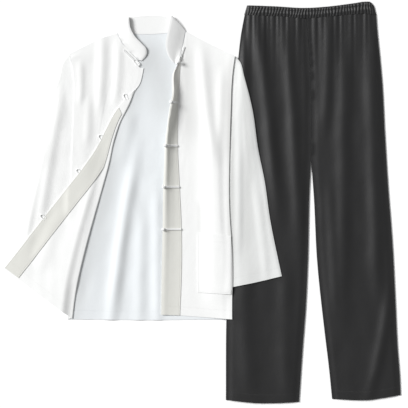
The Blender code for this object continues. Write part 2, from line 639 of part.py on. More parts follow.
def left_front(pile):
    """The front on the right, outside up. Its leading edge stands a little off the back, and slopes down to the
    border of the button band."""
    edge = smooth_curve(at_jacket(EDGE_LEFT))
    border = smooth_curve(at_jacket(BAND_BORDER))
    band_top = smooth_curve(at_jacket(NECK_FRONT_LEFT[:3]))
    band_hem = smooth_curve(at_jacket(HEM_FRONT_LEFT[:2]))
    band = lattice(edge, border, band_top, band_hem, BAND_COLUMNS, BODY_ROWS)
    top = chain(
        (0.3, smooth_curve(at_jacket(NECK_FRONT_LEFT[2:]))),
        (0.7, smooth_curve(at_jacket(SHOULDER_LEFT))),
    )
    hem = smooth_curve(at_jacket(HEM_FRONT_LEFT[1:]))
    rest = lattice(border, body_side("left"), top, hem, LEFT_FRONT_COLUMNS, BODY_ROWS)
    points = np.concatenate([band, rest[:, 1:]], axis=1)

    rise = relief(points, placed_folds(LEFT_FRONT_FOLDS, JACKET_AT))
    rise[:, len(BAND_COLUMNS) :] *= lens(LEFT_FRONT_COLUMNS, BODY_ROWS + 1, 1.0, edge=0.2)[:, 1:]
    rise[:, : len(BAND_COLUMNS)] = 0.0
    rise += relief(points, placed_folds(OVER_TROUSERS, JACKET_AT))
    edge_rise = smooth_rows(*zip(*[(share, (height,)) for share, height in EDGE_RISE]))
    standing = edge_rise(np.linspace(0, 1, BODY_ROWS + 1))
    rise[:, : len(BAND_COLUMNS)] += standing * np.array(BAND_SLOPE)
    height = pile.settle(points, rise, CLOTH)
    pile.add(points, height, CLOTH)
    middle = with_height(points, height)
    cloth_wall("jacket_front_left", middle, CLOTH, WHITE)

    out = CLOTH / 2 + 0.0004 + TRIM_CLOTH / 2
    band = moved_out(middle, out)[1:, : len(BAND_COLUMNS)]
    band[:, 0] += 0.25 * (band[:, 1] - band[:, 0])
    cloth_wall("button_band", band, TRIM_CLOTH, WHITE)
    pile.add(band[..., :2], band[..., 2], TRIM_CLOTH)
    left_frogs(pile, band)

    left, right = POCKET["left"], POCKET["right"]
    (top_left, top_right), (low_left, low_right) = POCKET["top"], POCKET["bottom"]
    pocket = lattice(
        smooth_curve(at_jacket([(left, top_left), (left, low_left)])),
        smooth_curve(at_jacket([(right, top_right), (right, low_right)])),
        smooth_curve(at_jacket([(left, top_left), (right, top_right)])),
        smooth_curve(at_jacket([(left, low_left), (right, low_right)])),
        5, 8,
    )
    lay_panel(pile, "pocket", pocket, lens(6, 9, 0.0012, edge=0.3), TRIM_CLOTH, WHITE)


def left_frogs(pile, band):
    """Flat bars across the button band, each with its ball at the edge."""
    for number, up in enumerate(FROG_UPS, start=2):
        height = up + JACKET_AT[1]
        at = at_height(band, KNOT_COLUMN, height)
        tried = np.linspace(KNOT_COLUMN, 3, 200)
        reach = [at_height(band, column, height)[0] - at[0] for column in tried]
        start = float(np.interp(KNOT_RADIUS + 0.0004, reach, tried))
        columns = [start] + [column for column in (1, 2, 3) if column > start + 0.05] + [BAR_END_COLUMN]
        lines = [
            [at_height(band, column,
            height + step * BAR_WIDTH / 2) for column in columns] for step in (1, 0, -1)
        ]
        strip = moved_out(np.array(lines), TRIM_CLOTH / 2 + 0.0007 + BAR_CLOTH / 2)
        strip[1, :, 2] += 0.0004
        cloth_wall(f"frog_bar_{number}", strip, BAR_CLOTH, WHITE)
        knot(pile, f"frog_knot_{number}", at[:2], seat=0.001, lift=0.0004)


def at_height(middle, column, height):
    """The place on a lattice at this column number where Y has this value."""
    j = min(int(column), middle.shape[1] - 2)
    line = middle[:, j] + (column - j) * (middle[:, j + 1] - middle[:, j])
    rows = np.arange(len(line))
    row = np.interp(-height, -line[:, 1], rows)
    return np.array([np.interp(row, rows, line[:, i]) for i in range(3)])


def turn(along, bent):
    """Place on a sheet that turns back through an angle over TURN_LENGTH: (outwards, upwards) from the turn's start."""
    bent = np.maximum(bent, 1e-4)
    radius = TURN_LENGTH / bent
    angle = bent * np.minimum(along / TURN_LENGTH, 1.0)
    past = np.maximum(along - TURN_LENGTH, 0.0)
    out = radius * np.sin(angle) + past * np.cos(bent)
    up = radius * (1 - np.cos(angle)) + past * np.sin(bent)
    return out, up


def turned_edge():
    """The turn's table as a function of the share down the right front's edge."""
    table = np.array(RIGHT_FRONT_TURN)
    return smooth_rows(table[:, 0], table[:, 1:])


def flap_points(shares, along_of):
    """Points on the turned-back part: where they lie and how high the turn lifts them."""
    row = turned_edge()(shares)
    start = row[:, :2] + JACKET_AT
    lap = np.maximum(row[:, 2], 0.0)
    heading = np.radians(row[:, 3])
    bent = np.radians(np.clip(row[:, 4], 0, 180))
    outward = np.stack([np.cos(heading), -np.sin(heading)], axis=-1)
    along = along_of(lap)
    out, up = turn(along, bent[:, None])
    return start[:, None] + out[..., None] * outward[:, None], up, along


def flap_lattice(shares):
    """The roll and the flap beyond it, as a lattice that starts one step past the turn."""

    def along_of(lap):
        roll = np.linspace(0, TURN_LENGTH, TURN_STEPS + 1)[1:]
        lap = lap[:, None] + 0.0005
        flat = TURN_LENGTH + lap * np.linspace(0, 1, FLAP_STEPS + 1)[1:]
        return np.concatenate([np.repeat(roll[None], len(lap), axis=0), flat], axis=1)

    return flap_points(shares, along_of)


def right_front(pile):
    """The front on the left: outside up, then turned back along a slanting roll with its inside up."""
    shares = np.array(FRONT_ROWS)
    rows = len(shares)
    edge = turned_edge()
    top = chain(
        (0.5, smooth_curve(at_jacket(SHOULDER_RIGHT))),
        (0.4, smooth_curve(at_jacket(NECK_FRONT_RIGHT))),
        (0.1, smooth_curve(at_jacket([NECK_FRONT_RIGHT[-1], RIGHT_FRONT_TURN[0][1:3]]))),
    )
    hem = smooth_curve(at_jacket([SIDE_RIGHT[-1], RIGHT_FRONT_TURN[-1][1:3]]))

    def turn_line(share):
        return edge(share)[..., :2] + JACKET_AT

    under = lattice(body_side("right"), turn_line, top, hem, 10, shares)
    rise = relief(under, placed_folds(RIGHT_FRONT_FOLDS, JACKET_AT))
    rise *= ramp((1 - np.linspace(0, 1, 11)) / 0.12)[None]
    height = pile.settle(under, rise, CLOTH)
    pile.add(under, height, CLOTH)
    loops(pile)

    flap, up, along = flap_lattice(shares)
    beyond = np.clip(along - TURN_LENGTH, 0, None)
    lap = beyond[:, -1:]
    crest = np.minimum(0.12 * lap, FLAP_CREST)

    held = 0.3 * up * (1 - ramp(beyond / 0.02)) + crest * ramp(beyond / 0.032) * (1 - 0.8 * ramp(beyond / lap))
    held += relief(flap, placed_folds(FLAP_FOLDS, JACKET_AT)) * ramp((beyond - 0.02) / 0.04)
    flap_height = pile.settle(flap[:, TURN_STEPS - 1 :], held[:, TURN_STEPS - 1 :], CLOTH)
    roll_height = np.zeros((rows, TURN_STEPS - 1))
    for step in range(TURN_STEPS - 1):
        share = (1 - math.cos(math.pi * (step + 1) / TURN_STEPS)) / 2
        roll_height[:, step] = (1 - share) * height[:, -1] + share * flap_height[:, 0]
    pile.add(flap[:, TURN_STEPS - 1 :], flap_height, CLOTH)
    middle = np.concatenate([
        with_height(under, height),
        with_height(flap, np.concatenate([roll_height, flap_height], axis=1)),
    ], axis=1)
    cloth_wall("jacket_front_right", middle, CLOTH, WHITE)
    facing(pile)


def facing(pile):
    """The facing along the turned front's edge, on the inside of the cloth."""
    shares = np.linspace(0.19, 0.995, 18)

    def along_of(lap):
        edge = TURN_LENGTH + lap[:, None] - 0.0008
        width = np.minimum(BAND_WIDTH, 0.8 * lap)[:, None]
        return edge - width * np.linspace(1, 0, 4)[None]

    points, _, _ = flap_points(shares, along_of)
    lay_panel(pile, "front_facing", points, np.zeros(points.shape[:2]), TRIM_CLOTH, WHITE)


# Collar: along it from the wearer's right end, over the back, to the left end. Across, up of its upper edge, then of
# its seam, and how high the upper edge and the seam stand above what they lie on
COLLAR_RIGHT_WING = [
    (-0.0235, 0.6745, -0.034, 0.6760, 0.0010, 0.0004),
    (-0.0125, 0.6880, -0.041, 0.6840, 0.0040, 0.0004),
    (-0.0120, 0.7035, -0.050, 0.6930, 0.0070, 0.0004),
    (-0.0260, 0.7200, -0.060, 0.7025, 0.0090, 0.0004),
    (-0.0420, 0.7370, -0.071, 0.7160, 0.0105, 0.0004),
    (-0.0530, 0.7580, -0.080, 0.7310, 0.0115, 0.0006),
    (-0.0570, 0.7870, -0.086, 0.7460, 0.0120, 0.0008),
]
COLLAR_LEFT_WING = [
    (0.0530, 0.7880, 0.089, 0.7510, 0.0150, 0.0008),
    (0.0470, 0.7620, 0.085, 0.7330, 0.0150, 0.0006),
    (0.0420, 0.7400, 0.082, 0.7170, 0.0145, 0.0004),
    (0.0390, 0.7230, 0.079, 0.7040, 0.0135, 0.0004),
    (0.0395, 0.7040, 0.076, 0.6910, 0.0125, 0.0004),
    (0.0460, 0.6850, 0.072, 0.6770, 0.0105, 0.0004),
    (0.0580, 0.6700, 0.068, 0.6640, 0.0080, 0.0004),
]
COLLAR_BACK_COLUMNS = 7
COLLAR_ROWS = 4


def wing(pile, table):
    """One front of the collar, lying over the neck with its outside up."""
    table = np.array(table)
    share = np.linspace(0, 1, COLLAR_ROWS)[:, None, None]
    upper = table[:, 0:2] + JACKET_AT
    seam = table[:, 2:4] + JACKET_AT
    points = (1 - share) * upper + share * seam
    rise = (1 - share[..., 0]) * table[:, 4] + share[..., 0] * table[:, 5]
    rise = rise + 0.0012 * np.sin(math.pi * share[..., 0])
    return points, pile.settle(points, rise, COLLAR_CLOTH, clear=1)


def collar(pile):
    """One band that goes round the neck: its back part flat on the floor, its fronts folded over on top."""
    wearer_right, right_height = wing(pile, COLLAR_RIGHT_WING)
    wearer_left, left_height = wing(pile, COLLAR_LEFT_WING)
    share = np.linspace(0, 1, COLLAR_ROWS)[:, None, None]
    upper = smooth_curve(at_jacket([(-0.057, 0.787), (0.000, 0.792), (0.053, 0.788)]))
    seam = smooth_curve(at_jacket(NECK_BACK) + (0.0, SEAM_GAP))
    inset = np.linspace(0.012, 0.988, COLLAR_BACK_COLUMNS)
    back = (1 - share) * upper(inset) + share * seam(inset)
    back_height = np.full(back.shape[:2], COLLAR_CLOTH / 2)

    def roll(start, start_height, end, end_height, outward):
        """Two columns round a side fold."""
        made = []
        for step in (1, 2):
            angle = math.pi * step / 3
            reach = np.minimum(np.abs(end_height - start_height) / 2, 0.003)[:, None]
            flat = (start + end) / 2 + reach * math.sin(angle) * np.array(outward)
            mix = (1 - math.cos(angle)) / 2
            made.append(with_height(flat, (1 - mix) * start_height + mix * end_height)[:, None])
        return made

    right_fold = roll(wearer_right[:, -1], right_height[:, -1], back[:, 0], back_height[:, 0], (-0.85, 0.54))
    left_fold = roll(back[:, -1], back_height[:, -1], wearer_left[:, 0], left_height[:, 0], (0.80, 0.60))
    middle = np.concatenate([
        with_height(wearer_right, right_height), *right_fold,
        with_height(back, back_height), *left_fold,
        with_height(wearer_left, left_height),
    ], axis=1)
    cloth_wall("collar", middle, COLLAR_CLOTH, WHITE)
    for points, height in ((wearer_right, right_height), (wearer_left, left_height)):
        pile.add(points, height, COLLAR_CLOTH)


# Frogs

def bar(pile, name, start, end):
    """The flat bar of a frog, laid on what is under it."""
    start, end = np.array(start), np.array(end)
    along = (end - start) / np.linalg.norm(end - start)
    side = np.array([-along[1], along[0]]) * BAR_WIDTH / 2
    steps = np.linspace(0, 1, 5)[:, None]
    line = end + (start - end) * steps
    points = np.stack([line + side, line, line - side], axis=1)
    crown = np.array([0.0, 0.0006, 0.0])[None].repeat(5, axis=0)
    lay_panel(pile, name, points, crown, BAR_CLOTH, WHITE, clear=1)


def knot(pile, name, at, seat, lift):
    """The ball of a frog, this much above the highest cloth within its seat's radius."""
    height = pile.height_near(at, seat) + KNOT_RADIUS + lift
    shape = bmesh.new()
    bmesh.ops.create_uvsphere(shape, u_segments=10, v_segments=7, radius=KNOT_RADIUS)
    mesh = bpy.data.meshes.new(name)
    shape.to_mesh(mesh)
    shape.free()
    mesh.shade_smooth()
    mesh.materials.append(material(*WHITE))
    made = bpy.data.objects.new(name, mesh)
    made.location = (at[0], at[1], height)
    bpy.context.scene.collection.objects.link(made)


def loop(pile, name, root, outward):
    """A frog's loop: one cord that comes out from its root, goes round and returns."""
    outward = np.array(outward) / np.linalg.norm(outward)
    side = np.array([-outward[1], outward[0]])
    bow = [(math.cos(a) * LOOP_HALF_WIDTH, math.sin(a) * LOOP_HALF_WIDTH) for a in np.linspace(0, math.pi, 7)]
    reach = LOOP_REACH - LOOP_HALF_WIDTH
    route = [(0.8 * LOOP_HALF_WIDTH, -0.006)] + [(s, reach + u) for s,
             u in bow] + [(-0.8 * LOOP_HALF_WIDTH, -0.006)]
    flat = [np.array(root) + s * side + u * outward for s, u in route]
    rest = max(pile.height_near(p, LOOP_CORD) for p in flat) + LOOP_CORD + 0.0003
    curve = bpy.data.curves.new(name, "CURVE")
    curve.dimensions = "3D"
    curve.bevel_depth = LOOP_CORD
    curve.bevel_resolution = 1
    curve.use_fill_caps = True
    spline = curve.splines.new("POLY")
    spline.points.add(len(flat) - 1)
    for point, place in zip(spline.points, flat):
        point.co = (place[0], place[1], rest, 1.0)
    curve.materials.append(material(*WHITE))
    bpy.context.scene.collection.objects.link(bpy.data.objects.new(name, curve))
    for start, end in zip(flat, flat[1:]):
        for share in np.linspace(0, 1, 5):
            pile.raise_near(start + share * (end - start), LOOP_CORD, rest + LOOP_CORD)


def loops(pile):
    """The loops that stand out from under the turned-back edge."""
    for number, share in enumerate(LOOPS, start=2):
        def along_of(lap):
            return TURN_LENGTH + lap[:, None] + np.array([[-0.001, 0.0]])

        points, _, _ = flap_points(np.array([share]), along_of)
        loop(pile, f"frog_loop_{number}", points[0, 1], points[0, 1] - points[0, 0])


def collar_frog(pile):
    """The pair at the collar, lying on the fronts."""
    at, end = at_jacket(COLLAR_KNOT)
    along = (end - at) / np.linalg.norm(end - at)
    bar(pile, "frog_bar_1", at + along * KNOT_RADIUS * 1.05, end)
    knot(pile, "frog_knot_1", at, seat=0.002, lift=-0.0004)
    at, end = at_jacket(COLLAR_LOOP)
    along = (end - at) / np.linalg.norm(end - at)
    bar(pile, "frog_bar_collar_right", at + along * 0.0075, end)
    loop(pile, "frog_loop_1", at, -along)


def clear_scene():
    for old in list(bpy.data.objects):
        bpy.data.objects.remove(old)


def main():
    clear_scene()
    pile = Pile()
    trousers(pile)
    sleeves(pile)
    back_panel(pile)
    left_front(pile)
    right_front(pile)
    collar(pile)
    collar_frog(pile)


main()
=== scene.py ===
# %% [markdown]
# # A tai chi uniform, laid out flat
# A white jacket with a stand collar lies open, its right front turned back like a lapel, and beside it,
# partly under its sleeve, lies a pair of black trousers. Cloth is a thin sheet, so every panel here is made
# the way a tailor thinks of it: its outline comes from a short table, a lattice of points fills the
# outline, and the lattice is laid on whatever lies below it. Simulation would lose the exact outline, so
# the drape is worked out fold by fold in tables.

import math

import bmesh
import bpy
import numpy as np
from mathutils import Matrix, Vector


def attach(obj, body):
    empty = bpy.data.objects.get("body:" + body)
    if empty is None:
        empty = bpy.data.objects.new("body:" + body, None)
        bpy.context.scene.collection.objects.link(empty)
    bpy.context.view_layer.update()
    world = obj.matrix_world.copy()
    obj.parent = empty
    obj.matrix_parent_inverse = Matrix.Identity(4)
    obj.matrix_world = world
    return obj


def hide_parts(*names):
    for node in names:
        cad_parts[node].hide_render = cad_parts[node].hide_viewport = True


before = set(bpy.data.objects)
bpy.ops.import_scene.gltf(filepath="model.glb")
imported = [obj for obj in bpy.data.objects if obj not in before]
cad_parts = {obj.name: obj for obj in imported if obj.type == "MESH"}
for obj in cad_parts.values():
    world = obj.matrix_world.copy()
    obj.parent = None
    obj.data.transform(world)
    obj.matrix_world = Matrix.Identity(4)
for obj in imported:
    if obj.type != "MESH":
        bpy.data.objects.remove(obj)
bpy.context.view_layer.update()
JACKET_AT = np.array([-0.1336, -0.3055])
TROUSERS_AT = np.array([0.2824, -0.5187])

# %% [markdown]
# ## Curves through tables
# Each outline is a few measured points. A smooth curve through them gives any number of points, so the same
# table serves a coarse solid and this finer cloth. `chain` puts curves end to end where a panel has a
# corner, and `lattice` fills four edge curves with points, as a weaver fills a frame.


# %% Curves and lattices
def smooth_rows(shares, rows):
    """A function from a share to the row there, smoothly between the rows of a table."""
    shares = np.array(shares, float)
    rows = np.array(rows, float)
    slopes = np.gradient(rows, shares, axis=0)

    def at(share):
        share = np.clip(np.asarray(share, float), shares[0], shares[-1])
        i = np.clip(np.searchsorted(shares, share, side="right") - 1, 0, len(shares) - 2)
        span = (shares[i + 1] - shares[i])[..., None]
        s = (share - shares[i])[..., None] / span
        start = rows[i] * (1 + 2 * s) * (1 - s) ** 2 + slopes[i] * span * s * (1 - s) ** 2
        end = rows[i + 1] * s * s * (3 - 2 * s) - slopes[i + 1] * span * s * s * (1 - s)
        return start + end

    return at


def smooth_curve(points):
    """A function from 0..1 to the smooth curve through the points, even in length."""
    points = np.array(points, float)
    steps = np.linalg.norm(np.diff(points, axis=0), axis=1)
    shares = np.concatenate([[0.0], np.cumsum(steps)]) / steps.sum()
    return smooth_rows(shares, points)


def chain(*parts):
    """Curves end to end, given as (share of the whole, curve), with a corner at each join."""

    def at(share):
        share = np.asarray(share, float)
        found = np.zeros(share.shape + (2,))
        start = 0.0
        for size, curve in parts:
            here = (share >= start - 1e-9) & (share <= start + size + 1e-9)
            found[here] = curve((share[here] - start) / size)
            start += size
        return found

    return at


def even(count):
    return np.linspace(0, 1, count + 1)


def refined(shares, times):
    """The same shares with each step cut into this many."""
    shares = np.array(shares, float)
    return np.interp(np.arange((len(shares) - 1) * times + 1) / times, np.arange(len(shares)), shares)


def lattice(left, right, top, bottom, across, down):
    """Points that fill four edge curves. Rows run from the top edge down, columns from the left edge."""
    u = across[None, :, None]
    v = down[:, None, None]
    ends = np.array([0.0, 1.0])
    top_ends, bottom_ends = top(ends), bottom(ends)
    sides = (1 - u) * left(down)[:, None] + u * right(down)[:, None]
    caps = (1 - v) * top(across)[None] + v * bottom(across)[None]
    upper = (1 - u) * top_ends[0] + u * top_ends[1]
    lower = (1 - u) * bottom_ends[0] + u * bottom_ends[1]
    return sides + caps - (1 - v) * upper - v * lower


def ramp(x):
    """0 below 0, 1 above 1, smooth between."""
    x = np.clip(x, 0, 1)
    return x * x * (3 - 2 * x)


def at_jacket(table):
    return np.array(table, float) + JACKET_AT


def at_trousers(table):
    return np.array(table, float) + TROUSERS_AT


def jacket_curve(table):
    return smooth_curve(at_jacket(table))


def trouser_curve(table):
    return smooth_curve(at_trousers(table))


print("a smooth curve's middle:", smooth_curve([(0, 0), (1, 1), (2, 0)])(np.array([0.5])).round(3))

# %% [markdown]
# ## Folds
# A fold in laid-out cloth is a soft ridge or trough that starts somewhere, bends a little and fades out.
# One row of a table says where it starts, bends and ends, its half width and its height; a trough has a
# negative height. `ripple` adds the faint unevenness that no ironing takes out.


# %% Relief
def relief(points, folds, place):
    """Height of the folds at each point. A fold is (start, bend, end, half width, height)."""
    height = np.zeros(points.shape[:-1])
    t = np.linspace(0, 1, 25)[:, None]
    for start, bend, end, width, peak in folds:
        start, bend, end = (np.array(p) + place for p in (start, bend, end))
        line = (1 - t) ** 2 * start + 2 * t * (1 - t) * bend + t * t * end
        reach = 3 * width
        near = (points[..., 0] > line[:, 0].min() - reach) & (points[..., 0] < line[:, 0].max() + reach)
        near &= (points[..., 1] > line[:, 1].min() - reach) & (points[..., 1] < line[:, 1].max() + reach)
        if not near.any():
            continue
        spots = points[near]
        step = line[1:] - line[:-1]
        ahead = ((spots[:, None] - line[:-1]) * step).sum(-1) / (step * step).sum(-1)
        ahead = np.clip(ahead, 0, 1)
        away = np.linalg.norm(spots[:, None] - line[:-1] - ahead[..., None] * step, axis=-1)
        piece = away.argmin(1)
        along = (piece + ahead[np.arange(len(piece)), piece]) / len(step)
        fade = ramp(along / 0.3) * ramp((1 - along) / 0.3)
        height[near] += peak * fade * np.exp(-((away.min(1) / width) ** 2))
    return height


def ripple(points, height, length, seed, stretch=(1.0, 0.45)):
    """Faint soft unevenness, longer along Y than across."""
    dice = np.random.default_rng(seed)
    total = np.zeros(points.shape[:-1])
    for _ in range(14):
        angle = dice.uniform(0, 2 * math.pi)
        scale = 2 * math.pi / (length * dice.uniform(0.6, 1.8))
        wave = np.array([math.cos(angle) * stretch[0], math.sin(angle) * stretch[1]]) * scale
        total += np.sin(points @ wave + dice.uniform(0, 6.3))
    return height * total / 14 ** 0.5


# %% [markdown]
# ## The pile
# Clothes laid on each other lift what lies on top. `Pile` keeps a height map of everything laid so far, on
# a fine grid. `settle` lets a new sheet down onto it: each point first takes the height that it needs, then
# neighbours even each other out, as cloth that is a little stiff bridges a step, but never sink below what
# they lie on.

# %% The pile
CELL = 0.0015
HALF = 0.54
CELLS = int(2 * HALF / CELL)
GAP = 0.0004


def corners_of(field):
    return field[:-1, :-1], field[:-1, 1:], field[1:, :-1], field[1:, 1:]


def spread(field, size):
    """Values at an even grid of spots inside every square of a lattice."""
    a, b, c, d = corners_of(field)
    shares = (np.arange(size) + 0.5) / size
    made = []
    for v in shares:
        for u in shares:
            made.append((1 - v) * ((1 - u) * a + u * b) + v * ((1 - u) * c + u * d))
    return np.stack(made)


class Pile:
    def __init__(self):
        self.top = np.zeros((CELLS, CELLS))

    def cells(self, points):
        spots = spread(points, 4)
        column = np.clip(((spots[..., 0] + HALF) / CELL).astype(int), 0, CELLS - 1)
        row = np.clip(((spots[..., 1] + HALF) / CELL).astype(int), 0, CELLS - 1)
        return row, column

    def needed(self, points, gap=GAP):
        """For each lattice point, the highest top under the squares around it."""
        row, column = self.cells(points)
        found = self.top[row, column].max(0)
        wide = np.pad(found, 1, constant_values=0.0)
        need = np.maximum.reduce([wide[:-1, :-1], wide[:-1, 1:], wide[1:, :-1], wide[1:, 1:]])
        return need + np.where(need > 0, gap, 0.0)

    def settle(self, points, rise, wall, rounds=60, gap=GAP):
        """Middle heights of a sheet that lies on the pile with its own rise."""
        short = self.needed(points, gap) - rise
        lift = np.maximum(short, 0.0)
        for _ in range(rounds):
            wide = np.pad(lift, 1, mode="edge")
            around = wide[:-2, 1:-1] + wide[2:, 1:-1] + wide[1:-1, :-2] + wide[1:-1, 2:]
            lift = np.maximum(0.4 * lift + 0.15 * around, short)
        return lift + rise + wall / 2

    def add(self, points, middle, wall):
        row, column = self.cells(points)
        np.maximum.at(self.top, (row, column), spread(middle + wall / 2, 4))

    def height_near(self, point, radius):
        column, row = (int((x + HALF) / CELL) for x in point)
        reach = int(math.ceil(radius / CELL))
        return self.top[row - reach : row + reach + 1, column - reach : column + reach + 1].max()


pile = Pile()


def with_height(points, height):
    return np.concatenate([points, height[..., None]], axis=-1)


def lay(points, rise, wall, rounds=60):
    """Lets a sheet down onto the pile and leaves it there. Returns its lattice of middle points."""
    height = pile.settle(points, rise, wall, rounds)
    pile.add(points, height, wall)
    return with_height(points, height)


print("height map:", CELLS, "cells a side")

# %% [markdown]
# ## From lattice to cloth
# A lattice of middle points becomes a closed shell: one face on each side, half the cloth's thickness away
# along the lattice's own normals, and a rim that joins them. Each vertex also keeps where it is on the flat
# cloth, in metres, and how far it is from the panel's edges, so that weave and stitching follow the cloth
# and not the room.


# %% Shell
FAR = 9  # a seam this far from an edge, in metres, is no seam
SHARP = 48  # degrees between faces, from where an edge is shaded sharp


def directions(middle, axis, closed=False):
    """The direction of a lattice's lines at each point, and the cosine of half the bend there."""
    step = np.diff(middle, axis=axis, append=middle.take([0], axis))
    step /= np.maximum(np.linalg.norm(step, axis=-1, keepdims=True), 1e-9)
    last = middle.shape[axis] - 1
    if closed:
        after, before = step, np.roll(step, 1, axis=axis)
    else:
        inner = step.take(range(last), axis)
        after = np.concatenate([inner, inner.take([last - 1], axis)], axis=axis)
        before = np.concatenate([inner.take([0], axis), inner], axis=axis)
    both = after + before
    length = np.linalg.norm(both, axis=-1, keepdims=True)
    return both / np.maximum(length, 1e-9), np.clip(length / 2, 0.6, 1)


def moved_out(middle, distance, closed=False):
    """A lattice moved along its own normals, up where its rows run down and its columns to the right."""
    down, bend_down = directions(middle, 0)
    around, bend_around = directions(middle, 1, closed)
    normal = np.cross(down, around)
    normal /= np.maximum(np.linalg.norm(normal, axis=-1, keepdims=True), 1e-9)
    return middle + normal * distance / (bend_down * bend_around)


def squares(rows, columns, closed=False):
    i, j = np.meshgrid(np.arange(rows - 1), np.arange(columns if closed else columns - 1), indexing="ij")
    k = (j + 1) % columns
    start, end = i * columns, (i + 1) * columns
    return np.stack([start + j, end + j, end + k, start + k], -1).reshape(-1, 4)


def lengths(middle, axis):
    """Distance along the lattice's lines, in metres."""
    step = np.linalg.norm(np.diff(middle, axis=axis), axis=-1)
    total = np.cumsum(step, axis=axis)
    pad = [(0, 0), (0, 0)]
    pad[axis] = (1, 0)
    return np.pad(total, pad)


def placed(name, data):
    """A new object in the scene."""
    made = bpy.data.objects.new(name, data)
    bpy.context.scene.collection.objects.link(made)
    return made


def keep(mesh, label, values, kind="FLOAT_VECTOR"):
    """Stores values for the vertices under a name that the finishes read."""
    stored = mesh.attributes.new(label, kind, "POINT")
    stored.data.foreach_set("value" if kind == "FLOAT" else "vector", values.astype(np.float32).ravel())


def cloth(name, middle, wall, finish, node, closed=False, seams=(FAR, FAR, FAR), shade=()):
    """A closed shell of cloth on a lattice, standing for a CAD node.

    seams: how far from the side edges, the top and the bottom a row of stitches runs, in metres.
    shade: a table like that of the folds, of soft stretches of painted shade, greying the colour where
    creases and layers would shadow it.
    """
    rows, columns = middle.shape[:2]
    face = moved_out(middle, wall / 2, closed).reshape(-1, 3)
    back = moved_out(middle, -wall / 2, closed).reshape(-1, 3)
    front = squares(rows, columns, closed)
    far = rows * columns
    rim = [(i * columns + columns - 1, (i + 1) * columns + columns - 1) for i in range(rows - 1)]
    rim += [((i + 1) * columns, i * columns) for i in range(rows - 1)]
    rim = [] if closed else rim
    last = (rows - 1) * columns
    for j in range(columns if closed else columns - 1):
        k = (j + 1) % columns
        rim += [(j, k), (last + k, last + j)]
    rim = np.array([(a, b, b + far, a + far) for a, b in rim])
    faces = np.concatenate([front, front[:, ::-1] + far, rim])
    mesh = bpy.data.meshes.new(name)
    mesh.from_pydata(np.concatenate([face, back]).tolist(), [], faces.tolist())
    shape = bmesh.new()
    shape.from_mesh(mesh)
    if shape.calc_volume(signed=True) < 0:
        bmesh.ops.reverse_faces(shape, faces=shape.faces)
    shape.to_mesh(mesh)
    shape.free()

    across, along = lengths(middle, 1), lengths(middle, 0)
    on_cloth = np.stack([across, along, np.zeros_like(across)], -1).reshape(-1, 3)
    side = np.minimum(across, across[:, -1:] - across)
    if closed:
        side = np.full_like(side, 1.0)
    edges = np.stack([side - seams[0], along - seams[1], along[-1:] - along - seams[2]], -1).reshape(-1, 3)
    # painted shade: the shade table greys the colour in creases and between layers, where shadow falls
    painted_shade_amount = np.clip(relief(middle[..., :2], shade, JACKET_AT), -0.2, 0.6).reshape(-1)
    keep(mesh, "cloth", np.concatenate([on_cloth, on_cloth]))
    keep(mesh, "edges", np.concatenate([edges, edges]))
    keep(mesh, "shade", np.concatenate([painted_shade_amount, painted_shade_amount]), "FLOAT")
    mesh.shade_smooth()
    mesh.set_sharp_from_angle(angle=math.radians(SHARP))
    mesh.materials.append(finish)
    made = placed(name, mesh)
    settle_in(made, node)
    return made


def settle_in(made, node):
    """The piece stands for its CAD node, which it hides, and hangs from the root body."""
    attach(made, "root")
    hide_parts(node)


# %% [markdown]
# ## The weave and the stitching
# Both cloths are a plain weave. Two crossed sets of waves, 0.6 mm apart, raise the threads; a slow noise
# makes some threads thicker, and a finer one adds lint. Stitching is a groove a set distance from an edge
# with short dashes in it. Both are node groups, because the white and the black cloth share them.


# %% Node helpers
def group(name, inputs, outputs):
    """A node group with named sockets, given as {name: (socket type, default)}."""
    tree = bpy.data.node_groups.new(name, "ShaderNodeTree")
    for label, (kind, value) in inputs.items():
        socket = tree.interface.new_socket(label, in_out="INPUT", socket_type=kind)
        if value is not None:
            socket.default_value = value
    for label, kind in outputs.items():
        tree.interface.new_socket(label, in_out="OUTPUT", socket_type=kind)
    return tree, tree.nodes.new("NodeGroupInput"), tree.nodes.new("NodeGroupOutput")


def feed(tree, node, inputs):
    """Sets a node's inputs to values, or links them to other nodes' outputs."""
    for label, value in inputs.items():
        if isinstance(value, bpy.types.NodeSocket):
            tree.links.new(value, node.inputs[label])
        else:
            node.inputs[label].default_value = value


def add_node(tree, kind, inputs, **settings):
    """A new node with its settings and inputs. Returns its outputs."""
    made = tree.nodes.new("ShaderNode" + kind)
    for label, value in settings.items():
        setattr(made, label, value)
    feed(tree, made, inputs)
    return made.outputs


def maths(tree, operation, *values):
    """A Math node on sockets or numbers. Returns its output."""
    return add_node(tree, "Math", dict(enumerate(values)), operation=operation)[0]


FLOAT, VECTOR = "NodeSocketFloat", "NodeSocketVector"

# %% Weave group
weave, weave_in, weave_out = group(
    "Plain weave",
    {"Cloth": (VECTOR, None), "Threads per metre": (FLOAT, 1700.0), "Unevenness": (FLOAT, 0.5)},
    {"Height": FLOAT, "Slub": FLOAT},
)
split = add_node(weave, "SeparateXYZ", {0: weave_in.outputs["Cloth"]})
turns = maths(weave, "MULTIPLY", weave_in.outputs["Threads per metre"], math.pi)
warp, weft = (maths(weave, "SINE", maths(weave, "MULTIPLY", split[axis], turns)) for axis in "XY")
over = maths(weave, "MULTIPLY", warp, weft)
slub = add_node(weave, "TexNoise", {"Vector": weave_in.outputs["Cloth"], "Scale": 260.0, "Detail": 3.0})[0]
uneven = maths(weave, "MULTIPLY", maths(weave, "SUBTRACT", slub, 0.5), weave_in.outputs["Unevenness"])
raised = maths(weave, "ADD", maths(weave, "MULTIPLY", over, 0.35), uneven)
feed(weave, weave_out, {"Height": raised, "Slub": slub})
print("node group:", weave.name)

